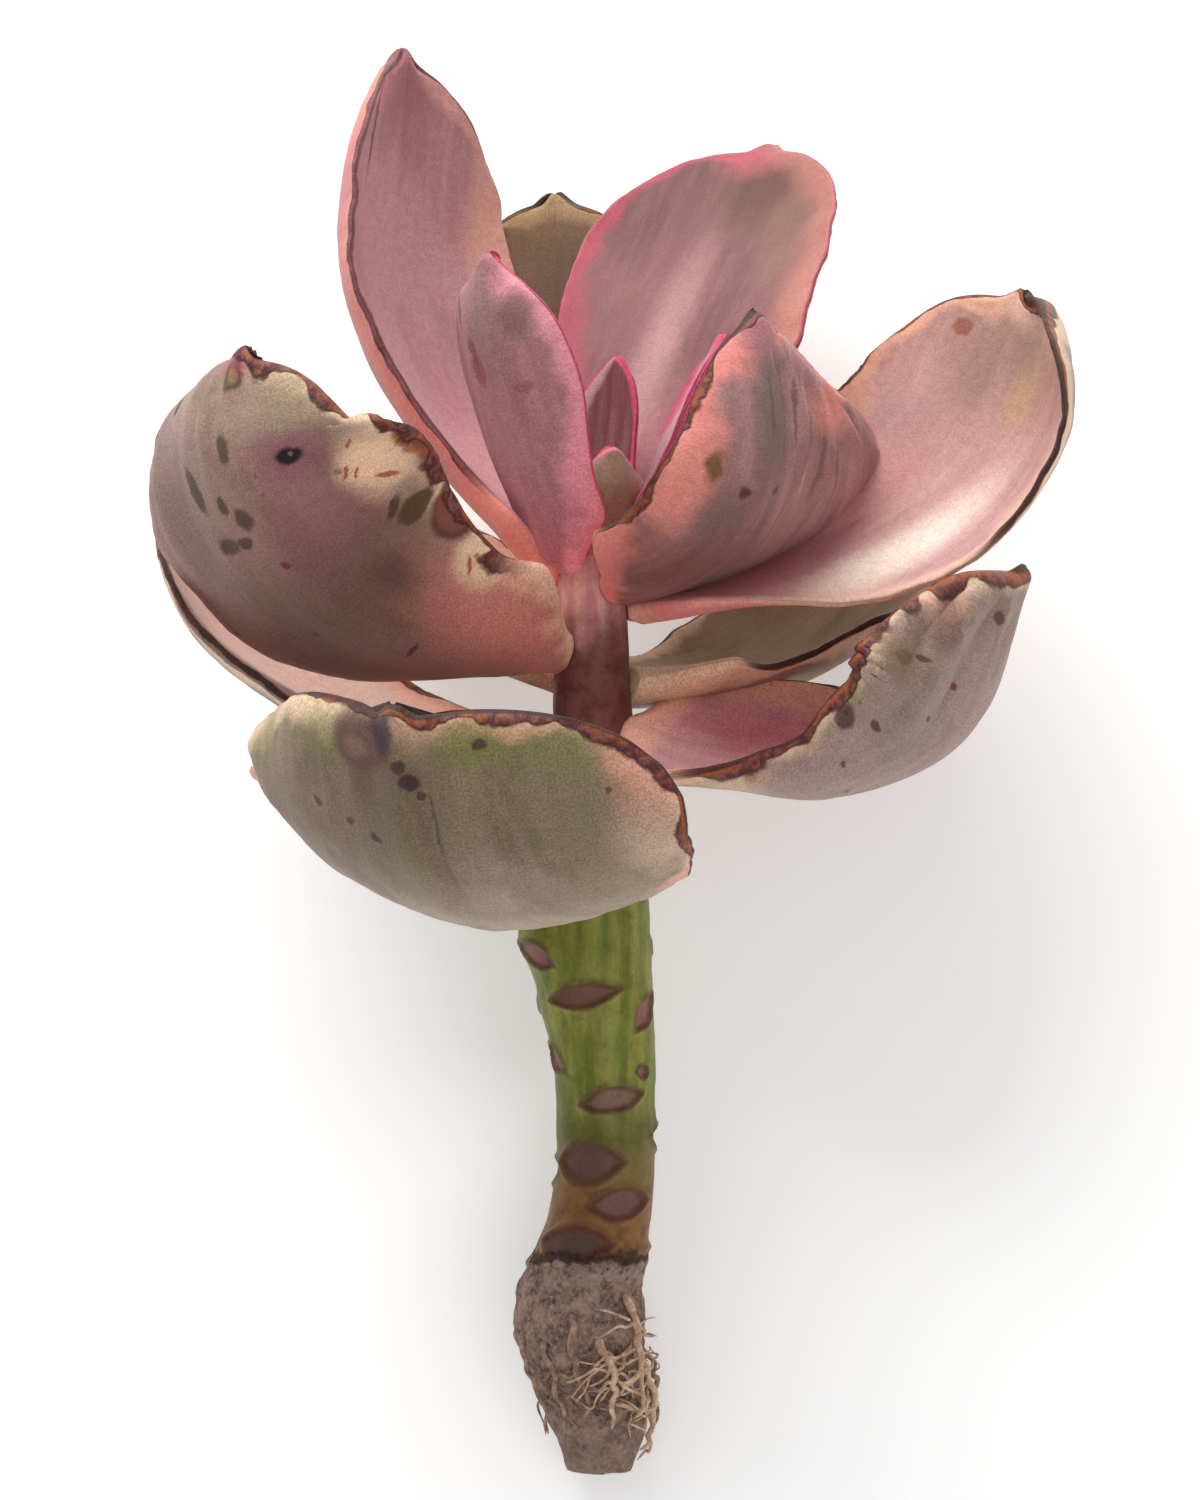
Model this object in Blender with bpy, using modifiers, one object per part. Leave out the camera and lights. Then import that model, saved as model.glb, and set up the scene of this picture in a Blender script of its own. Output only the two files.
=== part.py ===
"""A rooted cutting of a variegated rosette succulent, lying on its back on a surface.

It is modelled as it grew, with the cut root tip at the origin: X runs across the
rosette, -Y points out of its front and +Z runs up the stem. The empty "plant" then
lays it down, front upwards and crown towards +Y, resting on the facet of its own
convex hull that carries its weight. Lengths in the tables are millimetres.
"""

import math
import random

import bmesh
import bpy
import numpy as np
from mathutils import Matrix, Vector

MM = 0.001
GAP = 0.3 * MM  # clearance between pieces that meet

# Stem
ROOTSTOCK_LENGTH = 31.0  # corky rooted end
BARE_STEM_LENGTH = 42.0  # green stem between the rootstock and the lowest leaf
CROWN_LENGTH = 39.0  # stretch that carries the leaves
ROOTSTOCK_RADIUS = 7.7
BARE_STEM_RADIUS = 6.2
CROWN_RADIUS = 4.6
STEM_RINGS = 32
STEM_SIDES_RESOLUTION = 6

# Leaves
LEAF_THICKNESS = 3.2
MARGIN_SHARE = 0.34  # thickness of a leaf's margin against its middle
TIP_SHARE = 0.75  # thickness of a leaf's tip against its base
STOUTEST = 0.9  # greatest thickness against the half-breadth there
TIP_BREADTH = 2.0
LEAF_SPREAD = 1.0  # reach of every leaf out from the stem against the table
LEAF_BREADTH = 1.0  # breadth of every leaf against the table
KEEL_ANGLE = 8.0  # slope of a leaf's blade beside its midrib
CUP_POWER = 1.6  # how late the slope turns towards the margin's
CELLS_ALONG = 11
CELLS_ACROSS = 8
CROWDING = 1.5  # how much closer the cells lie at the tip

# Roots
ROOT_COUNT = 8
ROOT_RADIUS = 0.65
ROOT_LENGTH = 15.0
ROOT_SECTOR = (-58.0, 124.0)  # azimuths of the first and last root, degrees
ROOT_POINTS = 11
ROOT_SEED = 11

RESTING_TILT = 22.0  # rough angle between the lying stem and the surface, degrees

CROWN_BASE = ROOTSTOCK_LENGTH + BARE_STEM_LENGTH

# Leaf rows. azimuth: 0 is the front, 90 is +X. path: outward reach and height above the
# crown's base, from the stem to the tip. cup: slope of the left and right margin against
# the blade, one angle or angles from base to tip. roll turns the blade about its midrib.
# shoulder: where the left and right half are broadest. blunt: how square the tip is.
# sides: breadth of the left and right half against half the width. Lower leaves give way
# to those above.
LEAVES = {
    "leaf_lower_front": dict(
        azimuth=-25, path=((4, 0), (17, -5), (31, -6), (44.5, 1), (52, 17)), width=60,
        cup=(48, (45, 40, 22, 20, 30)), roll=(0, -4, -6), neck=0.3, shoulder=(0.76, 0.76),
        blunt=3.2, sides=(1.1, 1.05)),
    "leaf_lower_right": dict(
        azimuth=76, path=((4, 15), (17, 12), (32, 10), (45, 16.5), (51.5, 33.5)), width=44,
        cup=((10, 70, 95, 95, 80), 35), roll=(35, 32, 10, 0, 0), neck=0.34,
        shoulder=(0.7, 0.7), blunt=2.3),
    "leaf_lower_left_back": dict(
        azimuth=-106, path=((4, 15), (18, 14), (33, 17), (46, 27), (54, 43)), width=38,
        cup=(30, 30), roll=(0, -15), neck=0.3),
    "leaf_lower_right_back": dict(
        azimuth=128, path=((4, 21), (18, 20), (32, 24), (44, 31), (52, 40)), width=38,
        cup=(25, 40), neck=0.5),
    "leaf_left": dict(
        azimuth=-66,
        path=((4, 25), (18, 26), (31, 30.5), (41.5, 39.5), (46, 49.5), (44.5, 59)),
        width=37, cup=(35, 55), roll=(15, 40, 35, 20), neck=0.36, blunt=2.6,
        sides=(1.1, 1.16)),
    "leaf_left_back": dict(
        azimuth=-150, path=((4, 22), (18, 24), (32, 29), (44, 36), (50, 44)), width=32,
        cup=(30, 30), neck=0.26),
    "leaf_right": dict(
        azimuth=100, path=((4, 30.5), (20, 35), (36, 42), (47, 53), (53, 68)), width=43,
        cup=((40, 30, 55, 100), 15), roll=(20, 42, 40), neck=0.22, shoulder=(0.7, 0.7),
        blunt=2.5, sides=(1.25, 0.84)),
    "leaf_back": dict(
        azimuth=186, path=((4, 31), (17, 41), (30, 56), (41, 71), (47, 84)), width=32,
        cup=(30, 30), neck=0.24),
    "leaf_front_right": dict(
        azimuth=48, path=((4, 33), (14, 34), (23, 39), (28, 49), (26, 63)), width=48,
        cup=(70, 12), roll=(0, 5, 10), neck=0.42, shoulder=(0.42, 0.66), sides=(0.58, 1.42)),
    "leaf_upper_left": dict(
        azimuth=-127, path=((3, 34), (16.5, 45), (27, 59), (32, 77), (29.5, 98.5)),
        width=41, cup=(20, 60), neck=0.32),
    "leaf_upper_right": dict(
        azimuth=148, path=((3, 36), (12, 51), (24, 67), (34.5, 79), (42, 89)), width=40,
        cup=(25, 30), neck=0.24, shoulder=(0.48, 0.7), blunt=2.0, sides=(1.04, 0.93)),
    "leaf_inner_left": dict(
        azimuth=-45, path=((3, 35), (9, 45), (14, 56), (17, 65), (17, 70.5)), width=26,
        cup=(50, 45), neck=0.34, sides=(1.0, 0.74)),
    "leaf_inner_right": dict(
        azimuth=98, path=((2.5, 37), (8, 44), (12.5, 53), (16, 62)), width=13, cup=(50, 50),
        neck=0.32),
    "leaf_bud_back": dict(
        azimuth=140, path=((2, 37.5), (3, 46), (4, 54), (4.5, 60)), width=10.5, cup=(28, 28),
        neck=0.5, thickness=0.6),
    "leaf_bud_front": dict(
        azimuth=35, path=((2.5, 35), (4, 40), (5, 44.5), (4, 48.5)), width=10.5,
        cup=(25, 25), neck=0.5, thickness=0.6),
}
LEAF_DEFAULTS = dict(
    roll=(0, 0), neck=0.3, shoulder=(0.62, 0.62), blunt=1.7, sides=(1, 1), thickness=1.0
)


def spline(values, share):
    """A smooth curve through evenly spaced values, read at shares of its length."""
    knots = np.asarray(values, float)
    last = len(knots) - 1
    place = np.clip(np.asarray(share, float), 0, 1) * last
    index = np.minimum(place.astype(int), last - 1)
    step = place - index
    ends = (2 * knots[0] - knots[1], 2 * knots[-1] - knots[-2])
    knots = np.concatenate([[ends[0]], knots, [ends[1]]])
    a, b, c, d = (knots[index + k] for k in range(4))
    bend = 2 * a - 5 * b + 4 * c - d + step * (3 * (b - c) + d - a)
    return b + 0.5 * step * (c - a + step * bend)


def stem_sections(count, extra=0.0):
    """Heights, sideways offsets and radii of rings up the stem, root tip first."""
    green = ROOTSTOCK_LENGTH
    crown = CROWN_BASE
    top = CROWN_BASE + CROWN_LENGTH
    bulge = ROOTSTOCK_RADIUS
    bare = BARE_STEM_RADIUS
    neck = CROWN_RADIUS
    sections = (
        (0.0, 0.0, 0.45 * bulge),
        (0.13 * green, -0.3, 0.68 * bulge),
        (0.32 * green, -1.2, 0.86 * bulge),
        (0.56 * green, -2.6, bulge),
        (0.77 * green, -1.8, 0.95 * bulge),
        (green, 0.0, bare),
        (green + 9, 0.7, 0.95 * bare),
        (green + 19, 0.4, bare),
        (crown - 16, -0.6, 1.12 * bare),
        (crown - 7, -0.6, 1.06 * bare),
        (crown + 7, -0.6, 0.5 * (bare + neck)),
        (crown + 22, -1.0, neck),
        (top - 5, -1.0, 0.87 * neck),
        (top, -0.8, 0.6 * neck),
    )
    share = np.linspace(0, 1, count)
    columns = ([section[k] for section in sections] for k in range(3))
    heights, offsets, radii = (spline(column, share) for column in columns)
    heights[0] -= extra
    heights[-1] += extra
    return heights, offsets, radii + extra


def stem_at(height):
    """The stem's sideways offset and radius at a height."""
    heights, offsets, radii = stem_sections(200)
    return np.interp(height, heights, offsets), np.interp(height, heights, radii)


def leaf_outline(leaf, along, half):
    """Breadth of the left, 0, or right half against its broadest place, neck to tip."""
    shoulder = leaf["shoulder"][half]
    rising = np.clip(along / shoulder, 0, 1)
    falling = np.clip((along - shoulder) / (1 - shoulder), 0, 1)
    lower = leaf["neck"] + (1 - leaf["neck"]) * np.sin(rising * math.pi / 2) ** 1.35
    upper = (1 - falling**2.2) ** (1 / leaf["blunt"])
    tip = TIP_BREADTH / (leaf["width"] * LEAF_BREADTH)
    return np.maximum(np.where(along < shoulder, lower, upper), tip)


def leaf_frame(leaf, along):
    """Midrib points with the blade's sideways and inward directions, leaf frame."""
    fine = np.linspace(0, 1, 200)
    reach = spline([point[0] for point in leaf["path"]], fine) * LEAF_SPREAD
    rise = spline([point[1] - leaf["path"][0][1] for point in leaf["path"]], fine)
    points = np.stack([0 * fine, -reach, rise], axis=1)
    steps = np.linalg.norm(np.diff(points, axis=0), axis=1)
    arc = np.concatenate([[0], np.cumsum(steps)])
    arc /= arc[-1]
    ahead = np.gradient(points, axis=0)
    ahead /= np.linalg.norm(ahead, axis=1)[:, None]
    side = np.tile((1.0, 0.0, 0.0), (len(fine), 1))
    inward = np.cross(ahead, side)
    roll = np.radians(spline(leaf["roll"], arc))[:, None]
    rolled = side * np.cos(roll) + inward * np.sin(roll)
    inward = inward * np.cos(roll) - side * np.sin(roll)

    def read(values):
        return np.stack([np.interp(along, arc, values[:, k]) for k in range(3)], axis=1)

    return read(points), read(rolled), read(inward)


def leaf_sheet(leaf, along, across, extra):
    """Points of the blade's middle surface. across runs from -1, left, to 1, right."""
    middle, side, inward = leaf_frame(leaf, along)
    breadth = leaf["width"] / 2 * LEAF_BREADTH
    keel = math.radians(KEEL_ANGLE)
    fine = np.linspace(0, 1, 24)
    sheet = []
    for place in across:
        half = 0 if place < 0 else 1
        cup = leaf["cup"][half]
        cup = spline(cup if isinstance(cup, tuple) else (cup, cup), along)
        slope = keel + (np.radians(cup)[:, None] - keel) * (abs(place) * fine) ** CUP_POWER
        out = np.cos(slope).mean(axis=1) * abs(place)
        lift = np.sin(slope).mean(axis=1) * abs(place)
        reach = leaf_outline(leaf, along, half) * breadth * leaf["sides"][half] + extra
        sideways = math.copysign(1, place) * out * reach
        sheet.append(middle + side * sideways[:, None] + inward * (lift * reach)[:, None])
    sheet = np.stack(sheet, axis=1)
    for end, beside in ((0, 1), (-1, -2)):
        away = sheet[end] - sheet[beside]
        sheet[end] += away / np.linalg.norm(away, axis=1)[:, None] * extra
    return sheet


def material(name, colour, roughness):
    made = bpy.data.materials.new(name)
    made.use_nodes = True
    shader = made.node_tree.nodes["Principled BSDF"]
    shader.inputs["Base Color"].default_value = (*colour, 1.0)
    shader.inputs["Roughness"].default_value = roughness
    shader.inputs["Metallic"].default_value = 0.0
    made.diffuse_color = (*colour, 1.0)
    return made


def add_object(name, data, collection, plant, surface):
    """A named object under the plant's empty, in its collection."""
    made = bpy.data.objects.new(name, data)
    collection.objects.link(made)
    made.parent = plant
    if surface:
        data.materials.append(surface)
    return made


def as_cutter(made):
    made.hide_render = True
    made.display_type = "WIRE"


def shares_along():
    """Where the grid's rows cross the leaf, from its base, 0, to its tip, 1."""
    return 1 - (1 - np.linspace(0, 1, CELLS_ALONG + 1)) ** CROWDING


def leaf_mesh(name, leaf, extra):
    """A grid bent to the blade's middle surface."""
    cells = bmesh.new()
    bmesh.ops.create_grid(cells, x_segments=CELLS_ALONG, y_segments=CELLS_ACROSS, size=1)
    across = np.linspace(-1, 1, CELLS_ACROSS + 1)
    sheet = leaf_sheet(leaf, shares_along(), across, extra / MM)
    for vertex in cells.verts:
        row = round((vertex.co.x + 1) / 2 * CELLS_ALONG)
        column = round((vertex.co.y + 1) / 2 * CELLS_ACROSS)
        vertex.co = Vector(sheet[row, column]) * MM
    mesh = bpy.data.meshes.new(name)
    cells.to_mesh(mesh)
    cells.free()
    mesh.shade_smooth()
    return mesh


def thickness_weights(made, leaf, thickness, extra):
    """A vertex group that thins the blade towards its margins and its tip."""
    group = made.vertex_groups.new(name="thickness")
    shares = shares_along()
    breadth = leaf["width"] / 2 * LEAF_BREADTH * MM
    stoutest = [leaf_outline(leaf, shares, half) * breadth * STOUTEST for half in (0, 1)]
    for index in range(len(made.data.vertices)):
        column, row = divmod(index, len(shares))
        across = abs(2 * column / CELLS_ACROSS - 1)
        margin = MARGIN_SHARE + (1 - MARGIN_SHARE) * (1 - across**2.2)
        local = thickness * margin * (1 + (TIP_SHARE - 1) * shares[row])
        local = min(local, stoutest[2 * column >= CELLS_ACROSS][row])
        group.add([index], (local + 2 * extra) / (thickness + 2 * extra), "REPLACE")


def add_leaf(name, leaf, collection, plant, surface, extra=0.0):
    """A leaf on the stem, or with extra, the room that it needs."""
    height = CROWN_BASE + leaf["path"][0][1]
    offset = stem_at(height)[0]
    made = add_object(name, leaf_mesh(name, leaf, extra), collection, plant, surface)
    made.location = (offset * MM, 0, height * MM)
    made.rotation_euler = (0, 0, math.radians(leaf["azimuth"]))
    thickness = LEAF_THICKNESS * leaf["thickness"] * MM
    thickness_weights(made, leaf, thickness, extra)
    shell = made.modifiers.new("Thickness", "SOLIDIFY")
    shell.thickness = thickness + 2 * extra
    shell.offset = 0
    shell.vertex_group = "thickness"
    shell.use_quality_normals = True
    return made


def trim(made, cutter):
    """Cuts away the cutter. Both are closed, and a thin tip can fold into itself."""
    cut = made.modifiers.new("Trim " + cutter.name, "BOOLEAN")
    cut.operation = "DIFFERENCE"
    cut.solver = "MANIFOLD"
    cut.object = cutter


def tube(name, points, radii, resolution):
    """A closed round tube through points, as a curve, with a radius at each."""
    curve = bpy.data.curves.new(name, "CURVE")
    curve.dimensions = "3D"
    curve.bevel_depth = MM
    curve.bevel_resolution = resolution
    curve.use_fill_caps = True
    line = curve.splines.new("POLY")
    line.points.add(len(points) - 1)
    for point, place, radius in zip(line.points, points, radii):
        point.co = (*(place * MM), 1)
        point.radius = radius
    return curve


def stem_curve(name, extra):
    heights, offsets, radii = stem_sections(STEM_RINGS, extra / MM)
    points = np.stack([offsets, 0 * heights, heights], axis=1)
    return tube(name, points, radii, STEM_SIDES_RESOLUTION)


def meshed(made, collection):
    """The same object with its curve turned into one welded mesh."""
    bpy.context.view_layer.update()
    graph = bpy.context.evaluated_depsgraph_get()
    mesh = bpy.data.meshes.new_from_object(made.evaluated_get(graph))
    cells = bmesh.new()
    cells.from_mesh(mesh)
    bmesh.ops.remove_doubles(cells, verts=cells.verts, dist=0.00001)
    cells.to_mesh(mesh)
    cells.free()
    name = made.name
    other = bpy.data.objects.new(name + "_mesh", mesh)
    collection.objects.link(other)
    other.parent = made.parent
    other.matrix_world = made.matrix_world
    bpy.data.objects.remove(made)
    other.name = name
    return other


def root_points(azimuth, height, length, swing, drift):
    """A root that leaves the rootstock and creeps down it, a little off the bark."""
    share = np.linspace(0, 1, ROOT_POINTS)
    heights = height - length * share
    turns = np.radians(azimuth + swing * np.sin(share * math.pi) + drift * share)
    depths = np.interp(share, (0, 0.2, 0.6, 1), (-1.6, 1.1, 1.6, 1.2))
    points = []
    for turn, level, depth in zip(turns, heights, depths):
        offset, radius = stem_at(level)
        off = radius + GAP / MM + ROOT_RADIUS * depth
        points.append((offset + off * math.sin(turn), -off * math.cos(turn), level))
    return np.array(points)


def add_roots(collection, plant, surface, stem_room):
    chance = random.Random(ROOT_SEED)
    first, last = ROOT_SECTOR
    for index in range(ROOT_COUNT):
        azimuth = first + (last - first) * index / (ROOT_COUNT - 1)
        length = ROOT_LENGTH * chance.uniform(0.7, 1.0)
        height = length + ROOTSTOCK_LENGTH * chance.uniform(0.08, 0.22)
        swing = chance.uniform(2, 7)
        drift = chance.uniform(-4, 4)
        points = root_points(azimuth, height, length, swing, drift)
        radii = ROOT_RADIUS * np.linspace(1, 0.6, ROOT_POINTS)
        name = "root_%02d" % (index + 1)
        root = add_object(name, tube(name, points, radii, 2), collection, plant, surface)
        trim(meshed(root, collection), stem_room)


def solid_points(objects, plant):
    """Every point of the objects in the plant's frame, and their centre of mass."""
    graph = bpy.context.evaluated_depsgraph_get()
    into_plant = plant.matrix_world.inverted()
    points = []
    moment = Vector()
    volume = 0.0
    for made in objects:
        cells = bmesh.new()
        cells.from_mesh(made.evaluated_get(graph).to_mesh())
        cells.transform(into_plant @ made.matrix_world)
        bmesh.ops.triangulate(cells, faces=cells.faces)
        for face in cells.faces:
            a, b, c = (vertex.co for vertex in face.verts)
            part = a.dot(b.cross(c)) / 6
            moment += part * (a + b + c) / 4
            volume += part
        points += [vertex.co.copy() for vertex in cells.verts]
        cells.free()
    return points, moment / volume


def carries(face, centre):
    """Whether the weight falls inside this facet of the hull."""
    corners = [vertex.co for vertex in face.verts]
    for start, end in zip(corners, corners[1:] + corners[:1]):
        if (end - start).cross(centre - start).dot(face.normal) < 0:
            return False
    return True


def resting_turn(points, centre):
    """The rotation that lays the plant on the hull facet nearest its back."""
    lean = Matrix.Rotation(math.radians(RESTING_TILT - 90), 3, "X")
    down = lean.transposed() @ Vector((0, 0, -1))
    hull = bmesh.new()
    for point in points:
        hull.verts.new(point)
    bmesh.ops.convex_hull(hull, input=hull.verts)
    facets = [face for face in hull.faces if carries(face, centre)]
    best = max(facets, key=lambda face: face.normal.dot(down))
    settle = (lean @ best.normal).rotation_difference(Vector((0, 0, -1)))
    hull.free()
    return settle.to_matrix() @ lean


def lay_down(plant, objects):
    """Turns the plant onto its back and puts the middle of its base at the origin."""
    points, centre = solid_points(objects, plant)
    turn = resting_turn(points, centre)
    placed = [turn @ point for point in points]
    low = [min(point[axis] for point in placed) for axis in range(3)]
    high = [max(point[axis] for point in placed) for axis in range(3)]
    shift = Vector((-(low[0] + high[0]) / 2, -(low[1] + high[1]) / 2, -low[2]))
    plant.matrix_world = Matrix.Translation(shift) @ turn.to_4x4()


def clear_scene():
    for made in list(bpy.data.objects):
        bpy.data.objects.remove(made)


def add_collection(name):
    made = bpy.data.collections.new(name)
    bpy.context.scene.collection.children.link(made)
    return made


def main():
    clear_scene()
    parts = add_collection("succulent_cutting")
    cutters = add_collection("cutters")
    plant = bpy.data.objects.new("plant", None)
    parts.objects.link(plant)

    bark = material("stem", (0.33, 0.36, 0.14), 0.6)
    skin = material("leaf", (0.55, 0.33, 0.30), 0.65)
    fibre = material("root", (0.42, 0.26, 0.15), 0.85)

    stem = add_object("stem", stem_curve("stem", 0), parts, plant, bark)
    room = add_object("stem_room", stem_curve("stem_room", GAP), cutters, plant, None)
    room = meshed(room, cutters)
    as_cutter(room)

    solids = [stem]
    rooms = [room]
    for name, row in reversed(LEAVES.items()):
        leaf = {**LEAF_DEFAULTS, **row}
        made = add_leaf(name, leaf, parts, plant, skin)
        for other in rooms:
            trim(made, other)
        solids.append(made)
        rooms.append(add_leaf(name + "_room", leaf, cutters, plant, None, GAP))
        as_cutter(rooms[-1])
    add_roots(parts, plant, fibre, room)

    bpy.context.view_layer.update()
    lay_down(plant, solids)


main()
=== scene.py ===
"""The finished look of a rooted succulent cutting that lies on its back.

Every leaf, the stem and every root is rebuilt finer than its CAD solid, in the same
place. Leaves are worked out as they grew: X across the rosette, -Y out of its front,
+Z up the stem, millimetres, with the cut root tip at the origin. REST_TURN and
REST_SHIFT then lay the plant down in the frame of the CAD model.
"""

import random
from math import copysign, cos, pi, radians, sin

import bpy
import numpy as np
from mathutils import Euler, Matrix, Vector


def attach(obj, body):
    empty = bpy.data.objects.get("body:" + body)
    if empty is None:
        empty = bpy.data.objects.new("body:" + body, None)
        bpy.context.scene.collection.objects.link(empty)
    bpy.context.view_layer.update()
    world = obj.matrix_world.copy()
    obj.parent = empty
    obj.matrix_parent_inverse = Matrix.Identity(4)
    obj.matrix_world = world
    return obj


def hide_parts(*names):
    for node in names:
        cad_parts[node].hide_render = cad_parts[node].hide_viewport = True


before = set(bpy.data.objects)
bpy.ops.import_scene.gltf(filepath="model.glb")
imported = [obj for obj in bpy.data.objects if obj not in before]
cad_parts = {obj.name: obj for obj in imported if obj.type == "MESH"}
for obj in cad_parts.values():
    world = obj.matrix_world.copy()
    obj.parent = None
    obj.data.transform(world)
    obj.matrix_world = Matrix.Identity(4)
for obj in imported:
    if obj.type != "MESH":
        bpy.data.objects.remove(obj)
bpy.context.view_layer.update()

MM = 0.001
BODY = "root"
REST_TURN = (-71.3228, 7.0506, -0.2048)  # degrees
REST_SHIFT = (-6.0626, -83.7664, 3.6073)  # mm
AS_GROWN = Matrix.Translation(Vector(REST_SHIFT) * MM) @ Euler(
    [radians(angle) for angle in REST_TURN]).to_matrix().to_4x4()

# Stem, as in the CAD model
ROOTSTOCK_LENGTH = 31.0
BARE_STEM_LENGTH = 42.0
CROWN_LENGTH = 39.0
ROOTSTOCK_RADIUS = 7.7
BARE_STEM_RADIUS = 6.2
CROWN_RADIUS = 4.6
CROWN_BASE = ROOTSTOCK_LENGTH + BARE_STEM_LENGTH

# Leaves, as in the CAD model
LEAF_THICKNESS = 3.2
MARGIN_SHARE = 0.30
TIP_SHARE = 0.75
TIP_BREADTH = 0.5
KEEL_ANGLE = 8.0
CUP_POWER = 1.6
CROWDING = 1.7

FACE_APART = 100.0  # distance in the noise between a leaf's two faces
SKIN_RELIEF = 0.16  # mm of relief on a leaf's skin
BARK_RELIEF = 0.2
ROOT_RELIEF = 0.22
SMALL_LEAF = 15.0  # breadth below which a leaf gets the coarse grid
COARSE_GRID, FINE_GRID = (60, 41), (150, 97)  # rows and columns of a leaf


def linear(code):
    """A linear colour from a web colour code."""
    shares = (value / 255 for value in bytes.fromhex(code))
    return tuple(c / 12.92 if c <= 0.04045 else ((c + 0.055) / 1.055) ** 2.4 for c in shares)


# Colours
CREAM = "eeccaa"
PEACH = "f0b49a"
SALMON = "ee9688"
ROSE = "da707e"
PINK = "e28896"
HOT_PINK = "d84872"
BLUSH = "d09496"
PALE_PINK = "dcb6ae"
LILAC = "cca4b6"
MAUVE = "b27e82"
HEATHER = "c89aa0"
WINE = "88545c"
ROSE_BROWN = "966258"
MAROON = "5c262a"
MAGENTA = "ba546c"
GREY_TAN = "a48e76"
TAUPE = "a88a7e"
GREEN = "7c803e"
OLIVE = "685634"
KHAKI = "886e54"
BROWN = "623e2c"
UMBER = "321a16"
SOOT = "1e1416"
RUST = "aa5828"


def spline(values, share):
    """A smooth curve through evenly spaced values, read at shares of its length."""
    knots = np.asarray(values, float)
    last = len(knots) - 1
    place = np.clip(np.asarray(share, float), 0, 1) * last
    index = np.minimum(place.astype(int), last - 1)
    step = place - index
    ends = (2 * knots[0] - knots[1], 2 * knots[-1] - knots[-2])
    knots = np.concatenate([[ends[0]], knots, [ends[1]]])
    a, b, c, d = (knots[index + k] for k in range(4))
    bend = 2 * a - 5 * b + 4 * c - d + step * (3 * (b - c) + d - a)
    return b + 0.5 * step * (c - a + step * bend)


def smooth(value, low, high):
    """0 below low, 1 above high, eased between."""
    share = np.clip((value - low) / (high - low), 0, 1)
    return share * share * (3 - 2 * share)


def noise(seed, x, y):
    """Smooth value noise, -1 to 1, with features one unit across."""
    size = 64
    values = np.random.RandomState(seed).uniform(-1, 1, (size, size))
    x, y = np.broadcast_arrays(np.asarray(x, float), np.asarray(y, float))
    left, low = np.floor(x).astype(int), np.floor(y).astype(int)
    s, t = x - left, y - low
    s, t = (v * v * v * (v * (6 * v - 15) + 10) for v in (s, t))
    near = values[low % size, left % size] * (1 - s) + values[low % size, (left + 1) % size] * s
    up = (low + 1) % size
    far = values[up, left % size] * (1 - s) + values[up, (left + 1) % size] * s
    return near * (1 - t) + far * t


def rough_noise(seed, x, y, octaves):
    total, size = 0, 1.0
    for octave in range(octaves):
        total = total + size * noise(seed + 31 * octave, x / size, y / size)
        size /= 2
    return total


# ---- materials

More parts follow.
